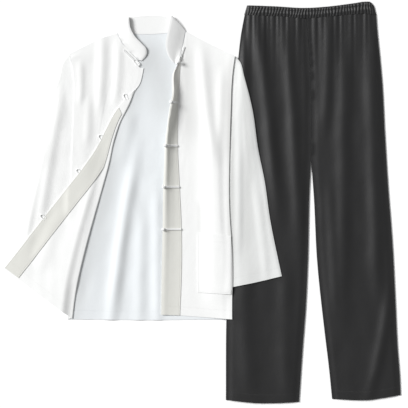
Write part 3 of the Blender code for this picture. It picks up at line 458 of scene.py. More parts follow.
# %% Stitch group
stitch, stitch_in, stitch_out = group(
    "Stitching",
    {"Cloth": (VECTOR, None), "Edges": (VECTOR, None), "Stitch": (FLOAT, 0.0032), "Groove": (FLOAT, 0.0016)},
    {"Height": FLOAT, "Thread": FLOAT},
)
place = add_node(stitch, "SeparateXYZ", {0: stitch_in.outputs["Cloth"]})
away = add_node(stitch, "SeparateXYZ", {0: stitch_in.outputs["Edges"]})
grooves, threads = None, None
for edge, runs_along in (("X", "Y"), ("Y", "X"), ("Z", "X")):
    off = maths(stitch, "DIVIDE", maths(stitch, "ABSOLUTE", away[edge]), stitch_in.outputs["Groove"])
    dip = maths(stitch, "SUBTRACT", 1.0, maths(stitch, "MINIMUM", off, 1.0))
    beat = maths(stitch, "FRACT", maths(stitch, "DIVIDE", place[runs_along], stitch_in.outputs["Stitch"]))
    from_middle = maths(stitch, "ABSOLUTE", maths(stitch, "SUBTRACT", beat, 0.5))
    dash = maths(stitch, "LESS_THAN", from_middle, 0.36)
    thread = maths(stitch, "MULTIPLY", dash, maths(stitch, "LESS_THAN", off, 0.28))
    grooves = dip if grooves is None else maths(stitch, "MAXIMUM", grooves, dip)
    threads = thread if threads is None else maths(stitch, "MAXIMUM", threads, thread)
raised = maths(stitch, "SUBTRACT", maths(stitch, "MULTIPLY", threads, 0.6), grooves)
feed(stitch, stitch_out, {"Height": raised, "Thread": threads})
print("node group:", stitch.name)

# %% [markdown]
# ## The finishes
# The white cloth is a matt cotton with a breath of sheen. It has four tones: the outside, and three greyer
# copies that paint shade on the inside, on the far sleeve and, warm grey, where the cloth is double. The
# black is a brushed cotton that is really a very dark grey. The `shade` attribute adds soft grey stretches of
# painted shade, given in tables.


# %% Materials
# the grey that painted shade mixes the cloth's colour towards
PAINTED_SHADE_COLOUR = (0.3, 0.3, 0.285, 1.0)
SEAM_HEIGHT = 0.00022


def cloth_finish(name, colour, worn, roughness, sheen, weave_height, crease_height, specular=0.25):
    """A cloth material: colour with a faint mottle and painted shade, weave, stitching and soft creases in
    the bump.
    """
    made = bpy.data.materials.new(name)
    made.use_nodes = True
    tree = made.node_tree
    on_cloth, edges, shade = (
        add_node(tree, "Attribute", {}, attribute_name=label) for label in ("cloth", "edges", "shade")
    )
    flat = on_cloth["Vector"]
    threads = add_node(tree, "Group", {"Cloth": flat}, node_tree=weave)
    sewn = add_node(tree, "Group", {"Cloth": flat, "Edges": edges["Vector"]}, node_tree=stitch)
    mottle = add_node(tree, "TexNoise", {"Vector": flat, "Scale": 22.0, "Detail": 5.0})[0]
    patchy = maths(tree, "MULTIPLY", mottle, maths(tree, "ADD", threads["Slub"], 0.2))
    tint = add_node(tree, "Mix", {"Factor": patchy, "A": (*colour, 1.0), "B": (*worn, 1.0)}, data_type="RGBA")
    # painted shade: the shade attribute greys the colour where creases and layers would shadow it
    with_painted_shade = add_node(tree, "Mix", {"Factor": shade["Fac"], "A": tint["Result"], "B": PAINTED_SHADE_COLOUR}, data_type="RGBA")
    bumps = ((crease_height, mottle), (SEAM_HEIGHT, sewn["Height"]), (weave_height, threads["Height"]))
    below = {}
    for distance, height in bumps:
        bump = add_node(tree, "Bump", {"Distance": distance, "Height": height, **below})
        below = {"Normal": bump["Normal"]}
    feed(tree, tree.nodes["Principled BSDF"], {
        "Base Color": with_painted_shade["Result"], "Roughness": roughness, "Sheen Weight": sheen, "Sheen Roughness": 0.5,
        "Specular IOR Level": specular, **below,
    })
    return made


WHITE_BUMPS = (0.0001, 0.0006)
white_cotton = cloth_finish("white_cotton", (0.86, 0.865, 0.86), (0.82, 0.825, 0.82), 0.86, 0.1, *WHITE_BUMPS)
# a greyer copy of the cotton for the jacket's inside: painted shade
white_inside_painted_shade = cloth_finish(
    "white_cotton_inside_painted_shade", (0.77, 0.8, 0.82), (0.74, 0.765, 0.78), 0.88, 0.08, *WHITE_BUMPS)
# a greyer copy of the cotton for the far sleeve: painted shade
white_far_sleeve_painted_shade = cloth_finish(
    "white_cotton_far_sleeve_painted_shade", (0.74, 0.75, 0.745), (0.7, 0.71, 0.7), 0.88, 0.08, *WHITE_BUMPS)
# a warm greyer copy of the cotton for the doubled band and facing: painted shade
white_double_painted_shade = cloth_finish(
    "white_cotton_double_painted_shade", (0.71, 0.71, 0.67), (0.67, 0.67, 0.63), 0.88, 0.08, 0.0001, 0.0005)
black_cotton = cloth_finish(
    "black_cotton", (0.009, 0.009, 0.0095), (0.014, 0.014, 0.0145), 0.52, 0.03, 0.00012, 0.0008,
    specular=0.45)
print("finishes:", [m.name for m in bpy.data.materials if "cotton" in m.name])

# %% [markdown]
# ## The trousers
# Each leg is a back panel flat on the floor and a front that swells a little over it, sewn at the sides.
# Long soft troughs run down from the waist to the knee, and short gathers fan out below the elastic.

# %% Trouser tables
CLOTH = 0.0012
TRIM = 0.0009
SEAM_GAP = 0.0004
HEM_DEPTH = 0.022
WAIST_TOP = [(-0.165, 1.031), (-0.091, 1.028), (-0.016, 1.024), (0.047, 1.028), (0.11, 1.036),
             (0.145, 1.0405), (0.1535, 1.04), (0.163, 1.03)]
WAIST_SEAM = [(-0.1725, 1.006), (-0.091, 1.003), (-0.012, 0.998), (0.047, 1.002), (0.11, 1.008),
              (0.145, 1.009), (0.1695, 1.005)]
CENTRE_SEAM = [(-0.012, 0.998), (-0.004, 0.905), (0.001, 0.76), (0.0, 0.629)]
CENTRE_SHARE = 0.375
WAIST_WIDTH = 0.346
LEGS = {
    "right": {
        "outer": [(-0.1725, 1.006), (-0.182, 0.954), (-0.188, 0.902), (-0.194, 0.785), (-0.202, 0.629),
                  (-0.211, 0.447), (-0.22, 0.208), (-0.221, 0.005)],
        "inseam": [(0.0, 0.629), (-0.004, 0.543), (-0.008, 0.369), (-0.014, 0.239), (-0.021, 0.148),
                   (-0.031, 0.0)],
        "hem": [(-0.221, 0.005), (-0.133, -0.003), (-0.031, 0.0)],
    },
    "left": {
        "outer": [(0.1695, 1.005), (0.1725, 0.965), (0.18, 0.889), (0.185, 0.832), (0.192, 0.699),
                  (0.2, 0.567), (0.212, 0.408), (0.22, 0.25), (0.225, 0.143), (0.231, 0.065), (0.233, 0.018)],
        "inseam": [(0.0, 0.629), (0.007, 0.543), (0.016, 0.369), (0.036, 0.179), (0.047, 0.088),
                   (0.055, 0.008)],
        "hem": [(0.055, 0.008), (0.14, 0.005), (0.233, 0.018)],
    },
}

# start, bend, end, half width, height
TROUSER_FOLDS = [
    ((-0.15, 1.04), (-0.11, 0.78), (-0.08, 0.4), 0.017, 0.006),
    ((-0.076, 1.04), (-0.04, 0.76), (-0.03, 0.33), 0.016, 0.005),
    ((-0.176, 0.96), (-0.178, 0.8), (-0.15, 0.56), 0.012, 0.0035),
    ((-0.165, 0.42), (-0.185, 0.2), (-0.15, -0.06), 0.024, 0.004),
    ((-0.06, 0.4), (-0.075, 0.2), (-0.06, -0.06), 0.02, 0.003),
    ((0.04, 1.04), (0.05, 0.88), (0.03, 0.64), 0.014, 0.0035),
    ((0.085, 1.02), (0.085, 0.56), (0.08, 0.12), 0.02, 0.005),
    ((0.156, 1.04), (0.156, 0.6), (0.18, 0.18), 0.018, 0.005),
    ((0.045, 0.62), (0.055, 0.4), (0.065, 0.18), 0.013, 0.0025),
    ((0.205, 0.33), (0.195, 0.16), (0.14, -0.02), 0.014, 0.004),
]


# %% Legs
def waist_seam():
    """The seam under the waistband, and the share of it where the centre seam starts."""
    seam = trouser_curve(WAIST_SEAM)
    shares = even(400)
    return seam, float(np.interp(CENTRE_SEAM[0][0] + TROUSERS_AT[0], seam(shares)[:, 0], shares))


def leg_lattice(side, columns, rows):
    """A leg panel from the waist seam to the hem."""
    leg = LEGS[side]
    aside = -SEAM_GAP / 2 if side == "right" else SEAM_GAP / 2
    outer = trouser_curve(leg["outer"])
    centre = smooth_curve(at_trousers(CENTRE_SEAM) + (aside, 0.0))
    inseam = smooth_curve(at_trousers(leg["inseam"]) + (aside, 0.0))
    inner = chain((CENTRE_SHARE, centre), (1 - CENTRE_SHARE, inseam))
    seam, centre_at = waist_seam()
    hem = trouser_curve(leg["hem"])
    upper = round(rows * CENTRE_SHARE)
    down = np.concatenate([
        np.linspace(0, CENTRE_SHARE, upper + 1),
        np.linspace(CENTRE_SHARE, 1, rows - upper + 1)[1:],
    ])
    if side == "right":
        return lattice(outer, inner, lambda s: seam(s * centre_at), hem, even(columns), down)
    return lattice(inner, outer, lambda s: seam(centre_at + s * (1 - centre_at)), hem, even(columns), down)


def swell(columns, edge, height):
    """The low swell of a panel that lies on another: none at its side edges, even in the middle."""
    across = np.asarray(columns)
    return height * (ramp(across / edge) * ramp((1 - across) / edge))[None]


def waist_gathers(points, height, fade, seed):
    """Ripples that fan down from the waist, uneven in depth and spacing."""
    seam, _ = waist_seam()
    line = seam(even(60))
    down = np.clip(np.interp(points[..., 0], line[:, 0], line[:, 1]) - points[..., 1], 0, None)
    dice = np.random.default_rng(seed)
    x = (points[..., 0] - TROUSERS_AT[0]) / WAIST_WIDTH
    total = np.zeros_like(x)
    for count, share in ((17, 0.5), (26, 0.6), (41, 0.35)):
        drift = 0.25 * np.sin(x * 9 + dice.uniform(0, 6))
        wave = np.cos(2 * math.pi * (x * count + drift) + dice.uniform(0, 6))
        total += share * wave * np.exp(-down * count / fade)
    return height * total


trouser_middles = {}
for side in LEGS:
    points = leg_lattice(side, 24, 130)
    height = np.full(points.shape[:2], CLOTH / 2)
    pile.add(points, height, CLOTH)
    trouser_middles[f"back_{side}"] = with_height(points, height)
for side in LEGS:
    points = leg_lattice(side, 60, 260)
    rise = np.repeat(swell(even(60), 0.1, 0.0032), 261, axis=0)
    folds = np.clip(relief(points, TROUSER_FOLDS, TROUSERS_AT), -0.002, None)
    rise = rise + folds * swell(even(60), 0.05, 1.0)
    small = waist_gathers(points, 0.0011, 1.4, 5) + ripple(points, 0.0003, 0.06, 3)
    rise += small * swell(even(60), 0.06, 1.0)
    trouser_middles[f"front_{side}"] = lay(points, np.maximum(rise, 0.0), CLOTH, rounds=10)
for label, middle in trouser_middles.items():
    hem = HEM_DEPTH if label.startswith("front") else FAR
    made = cloth(f"trousers_{label}", middle, CLOTH, black_cotton, f"trouser_{label}",
                 seams=(FAR, FAR, hem))

# %% [markdown]
# ## The waistband
# Elastic in a casing: a flattened ring of the same cloth, pulled into narrow gathers of uneven depth. They
# pinch at the edges and along the middle, and puff out between.

# %% Waistband
WAIST_GATHERS = 44
band_columns = 6 * WAIST_GATHERS
top = trouser_curve(WAIST_TOP)
seam, _ = waist_seam()
ends = np.array([0.0, 1.0])
left, right = (smooth_curve([top(ends)[i], (seam(ends) + (0, SEAM_GAP))[i]]) for i in (0, 1))
points = lattice(left, right, top, lambda s: seam(s) + (0, SEAM_GAP), even(band_columns), even(10))
under = np.full(points.shape[:2], CLOTH / 2)
pile.add(points, under, CLOTH)
dice = np.random.default_rng(8)
depth = np.interp(even(band_columns), even(WAIST_GATHERS), dice.uniform(0.45, 1.0, WAIST_GATHERS + 1))
drift = np.interp(even(band_columns), even(12), dice.uniform(-0.6, 0.6, 13))
phase = 2 * math.pi * (even(band_columns) * WAIST_GATHERS + drift)
puff = np.array([0.45, 0.85, 1.0, 0.92, 0.7, 0.85, 1.0, 0.95, 0.8, 0.62, 0.5])[:, None]
gather = 0.5 + 0.5 * np.cos(phase[None] + 0.9 * np.sin(even(10)[:, None] * 5 + even(band_columns)[None] * 40))
body = np.sqrt(np.clip(1 - np.linspace(-1, 1, band_columns + 1) ** 10, 0, 1))[None]
upper = under + CLOTH + GAP + body * puff * (0.0036 + 0.003 * depth[None] * gather)
pile.add(points, upper, CLOTH)
ring = np.concatenate([with_height(points, upper), with_height(points, under)[:, -5:0:-4]], axis=1)
made = cloth("waistband_gathered", ring, CLOTH, black_cotton, "waistband", closed=True)

# %% [markdown]
# ## The sleeves
# Each sleeve is a flattened tube: its upper layer carries the folds, its lower one lies on what is below.
# The left one lies over the trouser leg. The inner edges slip under the body, as the photograph shows.

# %% Jacket edges
SHOULDER_RIGHT = [(-0.211, 0.692), (-0.174, 0.711), (-0.133, 0.731), (-0.088, 0.746)]
SHOULDER_LEFT = [(0.091, 0.751), (0.127, 0.731), (0.169, 0.71), (0.218, 0.685)]
NECK_BACK = [(-0.088, 0.746), (0.0, 0.743), (0.091, 0.751)]
NECK_FRONT_RIGHT = [(-0.088, 0.746), (-0.075, 0.72), (-0.055, 0.697), (-0.034, 0.675)]
NECK_FRONT_LEFT = [(0.068, 0.658), (0.0735, 0.68), (0.079, 0.7), (0.085, 0.723), (0.091, 0.751)]
ARMHOLE_RIGHT = [(-0.211, 0.692), (-0.201, 0.64), (-0.198, 0.598), (-0.2, 0.556)]
ARMHOLE_LEFT = [(0.218, 0.685), (0.213, 0.65), (0.209, 0.6), (0.208, 0.562)]
SIDE_RIGHT = [(-0.2, 0.556), (-0.205, 0.4), (-0.211, 0.2), (-0.217, 0.002)]
SIDE_LEFT = [(0.208, 0.562), (0.205, 0.468), (0.205, 0.26), (0.209, 0.208), (0.211, 0.002)]
ARMHOLE_SHARE = 0.2
SLEEVES = {
    "right": {
        "outer": [(-0.212, 0.692), (-0.227, 0.676), (-0.237, 0.64), (-0.263, 0.562), (-0.289, 0.447),
                  (-0.309, 0.354), (-0.33, 0.281), (-0.343, 0.208), (-0.354, 0.138)],
        "inner": [(-0.18, 0.552), (-0.178, 0.507), (-0.17, 0.416), (-0.168, 0.312), (-0.179, 0.208),
                  (-0.201, 0.107)],
        "armhole": [(-0.212, 0.692), (-0.2, 0.64), (-0.19, 0.598), (-0.18, 0.552)],
        "cuff": [(-0.354, 0.138), (-0.28, 0.119), (-0.201, 0.107)],
    },
    "left": {
        "outer": [(0.219, 0.685), (0.231, 0.67), (0.241, 0.634), (0.263, 0.546), (0.278, 0.442),
                  (0.294, 0.364), (0.309, 0.26), (0.33, 0.156), (0.339, 0.114)],
        "inner": [(0.188, 0.555), (0.186, 0.507), (0.174, 0.416), (0.168, 0.312), (0.173, 0.208),
                  (0.185, 0.079)],
        "armhole": [(0.219, 0.685), (0.21, 0.645), (0.199, 0.6), (0.188, 0.555)],
        "cuff": [(0.339, 0.114), (0.276, 0.099), (0.213, 0.086), (0.185, 0.079)],
    },
}
# start, bend, end, half width, how grey: painted shadow in the gap beside the body, and painted shade along a
# trough
SLEEVE_SHADE = [
    ((0.205, 0.76), (0.21, 0.4), (0.214, 0.0), 0.01, 0.3),
    ((0.246, 0.7), (0.252, 0.4), (0.25, 0.0), 0.016, 0.18),
]
SLEEVE_FOLDS = [
    ((-0.225, 0.64), (-0.262, 0.44), (-0.3, 0.18), 0.015, 0.0045),
    ((-0.262, 0.52), (-0.3, 0.35), (-0.336, 0.15), 0.01, 0.003),
    ((0.226, 0.7), (0.23, 0.4), (0.226, 0.06), 0.013, 0.006),
    ((0.262, 0.4), (0.29, 0.24), (0.306, 0.04), 0.013, 0.0045),
]


# %% Sleeves
def sleeve_points(side, columns, rows):
    outer, inner, armhole, cuff = (
        jacket_curve(SLEEVES[side][edge]) for edge in ("outer", "inner", "armhole", "cuff")
    )
    points = lattice(outer, inner, armhole, cuff, even(columns), even(rows))
    return points if side == "right" else points[:, ::-1]


SLEEVE_ROWS, SLEEVE_COLS = 150, 44
for side in SLEEVES:
    points = sleeve_points(side, SLEEVE_COLS, SLEEVE_ROWS)
    under = pile.settle(points, np.zeros(points.shape[:2]), CLOTH, rounds=30)
    pile.add(points, under, CLOTH)
    rise = np.repeat(swell(even(SLEEVE_COLS), 0.16, 0.0018), SLEEVE_ROWS + 1, axis=0)
    rise += relief(points, SLEEVE_FOLDS, JACKET_AT) * swell(even(SLEEVE_COLS), 0.1, 1.0)
    rise += ripple(points, 0.00035, 0.05, 21) * swell(even(SLEEVE_COLS), 0.08, 1.0)
    rise = np.maximum(rise * ramp(even(SLEEVE_ROWS) / 0.2)[:, None], 0.0)
    upper = pile.settle(points, rise, CLOTH, rounds=30)
    edges = (under + upper) / 2
    upper[:, 0], upper[:, -1] = edges[:, 0], edges[:, -1]
    pile.add(points, upper, CLOTH)
    ring = np.concatenate([with_height(points, upper), with_height(points, under)[:, -2:0:-1]], axis=1)
    # the far sleeve takes the greyer copy of the cotton: painted shade
    finish = white_cotton if side == "right" else white_far_sleeve_painted_shade
    made = cloth(f"jacket_sleeve_{side}", ring, CLOTH, finish, f"sleeve_{side}", closed=True,
                 seams=(FAR, FAR, HEM_DEPTH), shade=SLEEVE_SHADE)

# %% [markdown]
# ## The back
# The back lies on the floor, inside up, over the tucked-in edges of the sleeves and over the trouser leg's
# edge. Long soft folds run up from the hem towards the neck.

# %% Back panel
HEM = [(-0.217, 0.002), (0.0, 0.0), (0.211, 0.002)]
BACK_FOLDS = [
    ((-0.112, -0.08), (-0.085, 0.2), (-0.026, 0.5), 0.016, 0.0065),
    ((-0.03, -0.08), (-0.03, 0.14), (-0.02, 0.32), 0.016, 0.003),
    ((0.02, -0.08), (0.014, 0.16), (0.016, 0.42), 0.015, 0.004),
    ((-0.165, -0.03), (-0.15, 0.12), (-0.12, 0.26), 0.02, 0.0012),
    ((-0.05, 0.56), (-0.06, 0.48), (-0.085, 0.38), 0.018, 0.003),
]
# start, bend, end, half width, how grey: painted shadow beside the turned-back flap and under the right
# front's edge near the neck, and painted shade on the dark side of the folds
BACK_SHADE = [
    ((-0.09, 0.43), (-0.15, 0.2), (-0.225, -0.1), 0.024, 0.26),
    ((0.01, 0.79), (-0.062, 0.54), (-0.16, 0.25), 0.028, 0.24),
    ((-0.01, 0.74), (0.03, 0.64), (0.045, 0.48), 0.034, 0.22),
    ((-0.052, 0.35), (-0.073, 0.181), (-0.084, -0.06), 0.01, 0.14),
    ((-0.05, 0.38), (-0.035, 0.33), (-0.02, 0.24), 0.012, 0.06),
]


def body_side(side):
    """A panel's edge from the shoulder, down the armhole and the side seam, to the hem."""
    armhole, seam = (ARMHOLE_RIGHT, SIDE_RIGHT) if side == "right" else (ARMHOLE_LEFT, SIDE_LEFT)
    return chain(
        (ARMHOLE_SHARE, jacket_curve(armhole)),
        (1 - ARMHOLE_SHARE, jacket_curve(seam)),
    )


BODY_ROWS = 180
top = chain(
    (0.3, jacket_curve(SHOULDER_RIGHT)),
    (0.4, jacket_curve(NECK_BACK)),
    (0.3, jacket_curve(SHOULDER_LEFT)),
)
sides = body_side("right"), body_side("left")
points = lattice(*sides, top, jacket_curve(HEM), even(110), even(BODY_ROWS))
rise = relief(points, BACK_FOLDS, JACKET_AT) + ripple(points, 0.0003, 0.05, 12)
rise = np.maximum(rise, 0.0) * (1 - ramp((points[..., 0] - JACKET_AT[0] - 0.03) / 0.05))
middle = lay(points, rise, CLOTH)
made = cloth("jacket_back_panel", middle, CLOTH, white_inside_painted_shade, "jacket_back",
             seams=(0.012, FAR, HEM_DEPTH), shade=BACK_SHADE)

# %% [markdown]
# ## The left front
# This front lies outside up. Its leading edge doesn't lie flat: the doubled band stands up off the back,
# most at the chest, and slopes down to the panel. That slope is what makes the band look narrow near the
# collar and gives it part of its grey tone; the rest is painted shade in the band's greyer finish. The very
# edge rolls over a little.

# %% Left front
HEM_FRONT_LEFT = [(0.027, 0.014), (0.075, 0.012), (0.14, 0.009), (0.211, 0.006)]
EDGE_LEFT = [(0.068, 0.658), (0.059, 0.64), (0.057, 0.582), (0.049, 0.541), (0.043, 0.499), (0.038, 0.458),
             (0.036, 0.406), (0.033, 0.343), (0.031, 0.234), (0.028, 0.104), (0.027, 0.014)]
BAND_BORDER = [(0.079, 0.7), (0.074, 0.64), (0.0705, 0.564), (0.069, 0.452), (0.074, 0.346), (0.079, 0.239),
               (0.0795, 0.14), (0.075, 0.012)]
EDGE_RISE = [(0.0, 0.008), (0.07, 0.015), (0.15, 0.021), (0.32, 0.016), (0.49, 0.012), (0.66, 0.008),
             (1.0, 0.004)]
BAND_COLUMNS = [0, 0.09, 0.38, 0.68, 1]
BAND_SLOPE = [0.86, 1.0, 0.62, 0.26, 0.0]
LEFT_FRONT_FOLDS = [
    ((0.126, 0.76), (0.14, 0.56), (0.166, 0.38), 0.016, 0.0055),
    ((0.156, 0.56), (0.168, 0.3), (0.17, -0.08), 0.032, 0.009),
    ((0.19, 0.68), (0.18, 0.56), (0.184, 0.44), 0.012, 0.003),
]
OVER_TROUSERS = [((0.236, 0.72), (0.222, 0.56), (0.214, 0.4), 0.03, 0.004)]
# start, bend, end, half width, how grey: painted shade beside the band and the side seam, and painted shadow
# along the side edge and by the pocket
LEFT_FRONT_SHADE = [
    ((0.088, 0.76), (0.09, 0.6), (0.1, 0.42), 0.02, 0.2),
    ((0.2, 0.76), (0.196, 0.56), (0.19, 0.38), 0.026, 0.16),
    ((0.205, 0.74), (0.207, 0.34), (0.206, 0.0), 0.007, 0.3),
    ((0.124, 0.32), (0.126, 0.27), (0.124, 0.2), 0.006, 0.12),
]

edge = jacket_curve(EDGE_LEFT)
border = jacket_curve(BAND_BORDER)
band_across = refined(BAND_COLUMNS, 4)
rest_across = even(38)
band = lattice(
    edge, border, jacket_curve(NECK_FRONT_LEFT[:3]), jacket_curve(HEM_FRONT_LEFT[:2]),
    band_across, even(BODY_ROWS),
)
top = chain((0.3, jacket_curve(NECK_FRONT_LEFT[2:])), (0.7, jacket_curve(SHOULDER_LEFT)))
hem = jacket_curve(HEM_FRONT_LEFT[1:])
rest = lattice(border, body_side("left"), top, hem, rest_across, even(BODY_ROWS))
points = np.concatenate([band, rest[:, 1:]], axis=1)
in_band = len(band_across)
flatness = np.concatenate([np.zeros(in_band), swell(rest_across, 0.2, 1.0)[0, 1:]])
rise = (relief(points, LEFT_FRONT_FOLDS, JACKET_AT) + ripple(points, 0.0003, 0.05, 33)) * flatness
rise += relief(points, OVER_TROUSERS, JACKET_AT)
slope = smooth_rows(BAND_COLUMNS, np.array(BAND_SLOPE)[:, None])(band_across)[:, 0]
standing = smooth_rows(*zip(*[(share, (height,)) for share, height in EDGE_RISE]))(even(BODY_ROWS))
rise[:, :in_band] += standing * slope
left_front = lay(points, np.maximum(rise, 0.0), CLOTH)
made = cloth("jacket_left_front", left_front, CLOTH, white_cotton, "jacket_front_left",
             seams=(FAR, FAR, HEM_DEPTH), shade=LEFT_FRONT_SHADE)

# %% Button band
band = moved_out(left_front, CLOTH / 2 + 0.0003 + TRIM / 2)[3:, :in_band]
# the band takes the warm greyer copy of the cotton: painted shade on the doubled cloth
made = cloth("jacket_button_band", band, TRIM, white_double_painted_shade, "button_band",
             seams=(0.003, FAR, HEM_DEPTH))
pile.add(band[..., :2], band[..., 2], TRIM)

# %% [markdown]
# ## The pocket
# A patch pocket lies on the left front, close to its side seam, with a hemmed mouth. It is laid on the
# panel like any other piece, with a slight swell where the mouth stands open.

# %% Pocket
POCKET_CORNERS = [(0.122, 0.229), (0.2075, 0.219), (0.122, 0.072), (0.2075, 0.067)]
a, b, c, d = POCKET_CORNERS
points = lattice(*(jacket_curve(side) for side in ([a, c], [b, d], [a, b], [c, d])), even(26), even(44))
mouth = 0.0022 * (1 - ramp(even(44) / 0.3))[:, None]
rise = (0.0006 + mouth) * swell(even(26), 0.4, 1.0) + np.maximum(ripple(points, 0.00025, 0.03, 44), 0)
middle = lay(points, rise, TRIM, rounds=6)
made = cloth("jacket_pocket", middle, TRIM, white_cotton, "pocket", seams=(0.003, 0.02, 0.003))

# %% [markdown]
# ## The right front
# It lies outside up from the side seam to a slanting roll, where it turns back on itself and shows its
# inside. The table gives, down its edge, where the roll is, how far the cloth laps back beyond it, in which
# direction, and how far it has turned. Near the collar the turn is only starting, so the angle grows from
# nothing there.

# %% Right front
TURN_RADIUS = 0.003
TURN_LENGTH = math.pi * TURN_RADIUS
RIGHT_FRONT_TURN = [
    (0.0, -0.029, 0.655, 0.0, 0, 0),
    (0.05, -0.036, 0.624, 0.001, 10, 30),
    (0.09, -0.047, 0.597, 0.005, 45, 110),
    (0.133, -0.056, 0.569, 0.014, 62, 175),
    (0.222, -0.084, 0.511, 0.027, 63, 180),
    (0.288, -0.098, 0.468, 0.035, 60, 180),
    (0.379, -0.111, 0.409, 0.049, 52, 180),
    (0.478, -0.129, 0.344, 0.07, 47, 180),
    (0.597, -0.151, 0.267, 0.1, 43, 180),
    (0.716, -0.172, 0.19, 0.131, 41, 180),
    (0.913, -0.2, 0.062, 0.187, 38, 180),
    (1.0, -0.207, 0.005, 0.217, 36.5, 180),
]
RIGHT_FRONT_FOLDS = [
    ((-0.128, 0.78), (-0.124, 0.64), (-0.14, 0.5), 0.014, 0.0045),
    ((-0.084, 0.76), (-0.082, 0.64), (-0.1, 0.53), 0.013, 0.004),
    ((-0.186, 0.69), (-0.178, 0.62), (-0.186, 0.54), 0.009, 0.003),
    ((-0.16, 0.6), (-0.16, 0.52), (-0.172, 0.43), 0.012, 0.003),
]
FLAP_FOLDS = [((-0.23, 0.3), (-0.27, 0.21), (-0.29, 0.11), 0.02, 0.003)]
FLAP_CREST = 0.011
turned_edge = smooth_rows([row[0] for row in RIGHT_FRONT_TURN], [row[1:] for row in RIGHT_FRONT_TURN])


def turn(along, bent):
    """Place on a sheet that turns back through an angle over TURN_LENGTH: outwards and upwards."""
    bent = np.maximum(bent, 1e-4)
    radius = TURN_LENGTH / bent
    angle = bent * np.minimum(along / TURN_LENGTH, 1.0)
    past = np.maximum(along - TURN_LENGTH, 0.0)
    return radius * np.sin(angle) + past * np.cos(bent), radius * (1 - np.cos(angle)) + past * np.sin(bent)


def flap_points(shares, along_of):
    """Points on the turned-back part: where they lie and how high the turn lifts them."""
    row = turned_edge(shares)
    start = row[:, :2] + JACKET_AT
    along = along_of(np.maximum(row[:, 2], 0.0))
    heading = np.radians(row[:, 3])
    bent = np.radians(np.clip(row[:, 4], 0, 180))
    outward = np.stack([np.cos(heading), -np.sin(heading)], axis=-1)
    out, up = turn(along, bent[:, None])
    return start[:, None] + out[..., None] * outward[:, None], up, along


TURN_STEPS, FLAP_STEPS = 8, 56
# most rows where the turn starts
shares = np.concatenate([even(44)[:-1] * 0.133, 0.133 + even(18)[:-1] * 0.067, 0.2 + even(150) * 0.8])
top = chain(
    (0.5, jacket_curve(SHOULDER_RIGHT)),
    (0.4, jacket_curve(NECK_FRONT_RIGHT)),
    (0.1, jacket_curve([NECK_FRONT_RIGHT[-1], RIGHT_FRONT_TURN[0][1:3]])),
)
hem = jacket_curve([SIDE_RIGHT[-1], RIGHT_FRONT_TURN[-1][1:3]])
under_across = even(40)


def roll_line(share):
    return turned_edge(share)[..., :2] + JACKET_AT


under = lattice(body_side("right"), roll_line, top, hem, under_across, shares)
rise = relief(under, RIGHT_FRONT_FOLDS, JACKET_AT) + ripple(under, 0.00035, 0.05, 51)
rise = np.maximum(rise * ramp((1 - under_across) / 0.12)[None], 0.0)
under_height = lay(under, rise, CLOTH)[..., 2]
under_pile = pile.top.copy()


def along_flap(lap):
    roll = np.linspace(0, TURN_LENGTH, TURN_STEPS + 1)[1:]
    flat = TURN_LENGTH + (lap[:, None] + 0.0005) * even(FLAP_STEPS)[1:]
    return np.concatenate([np.repeat(roll[None], len(lap), axis=0), flat], axis=1)


flap, up, along = flap_points(shares, along_flap)
beyond = np.clip(along - TURN_LENGTH, 0, None)
lap = beyond[:, -1:]
crest = np.minimum(0.12 * lap, FLAP_CREST)
held = 0.3 * up * (1 - ramp(beyond / 0.02)) + crest * ramp(beyond / 0.032) * (1 - 0.8 * ramp(beyond / lap))
held += (relief(flap, FLAP_FOLDS, JACKET_AT) + ripple(flap, 0.0003, 0.05, 61)) * ramp((beyond - 0.02) / 0.04)
flat_from = TURN_STEPS - 1
flap_height = pile.settle(flap[:, flat_from:], np.maximum(held[:, flat_from:], 0), CLOTH)
step_share = (1 - np.cos(math.pi * (np.arange(flat_from) + 1) / TURN_STEPS)) / 2
roll_height = (1 - step_share) * under_height[:, -1:] + step_share * flap_height[:, :1]
pile.add(flap[:, flat_from:], flap_height, CLOTH)
right_front = np.concatenate([
    with_height(under, under_height),
    with_height(flap, np.concatenate([roll_height, flap_height], axis=1)),
], axis=1)
made = cloth("jacket_right_front", right_front, CLOTH, white_cotton, "jacket_front_right",
             seams=(FAR, FAR, HEM_DEPTH))

# %% Facing
BAND_WIDTH = 0.044


def along_facing(lap):
    outer = TURN_LENGTH + lap[:, None] - 0.0006
    return outer - np.minimum(BAND_WIDTH, 0.8 * lap)[:, None] * even(12)[None, ::-1]


points, _, _ = flap_points(np.linspace(0.19, 0.996, 170), along_facing)
middle = lay(points, np.zeros(points.shape[:2]), TRIM, rounds=4)
# the facing takes the warm greyer copy of the cotton: painted shade along the turned-back edge
made = cloth("jacket_facing", middle, TRIM, white_double_painted_shade, "front_facing",
             seams=(0.003, FAR, HEM_DEPTH))

# %% [markdown]
# ## The collar
# One doubled band, 40 mm high, goes round the neck. Its back part stands flat behind the neckline, inside
# up; at each side it folds over, and its fronts lie over the neck with their outside up and their top edges
# standing proud. Rounded corners close it in front.

# %% Collar
COLLAR_CLOTH = 0.0018
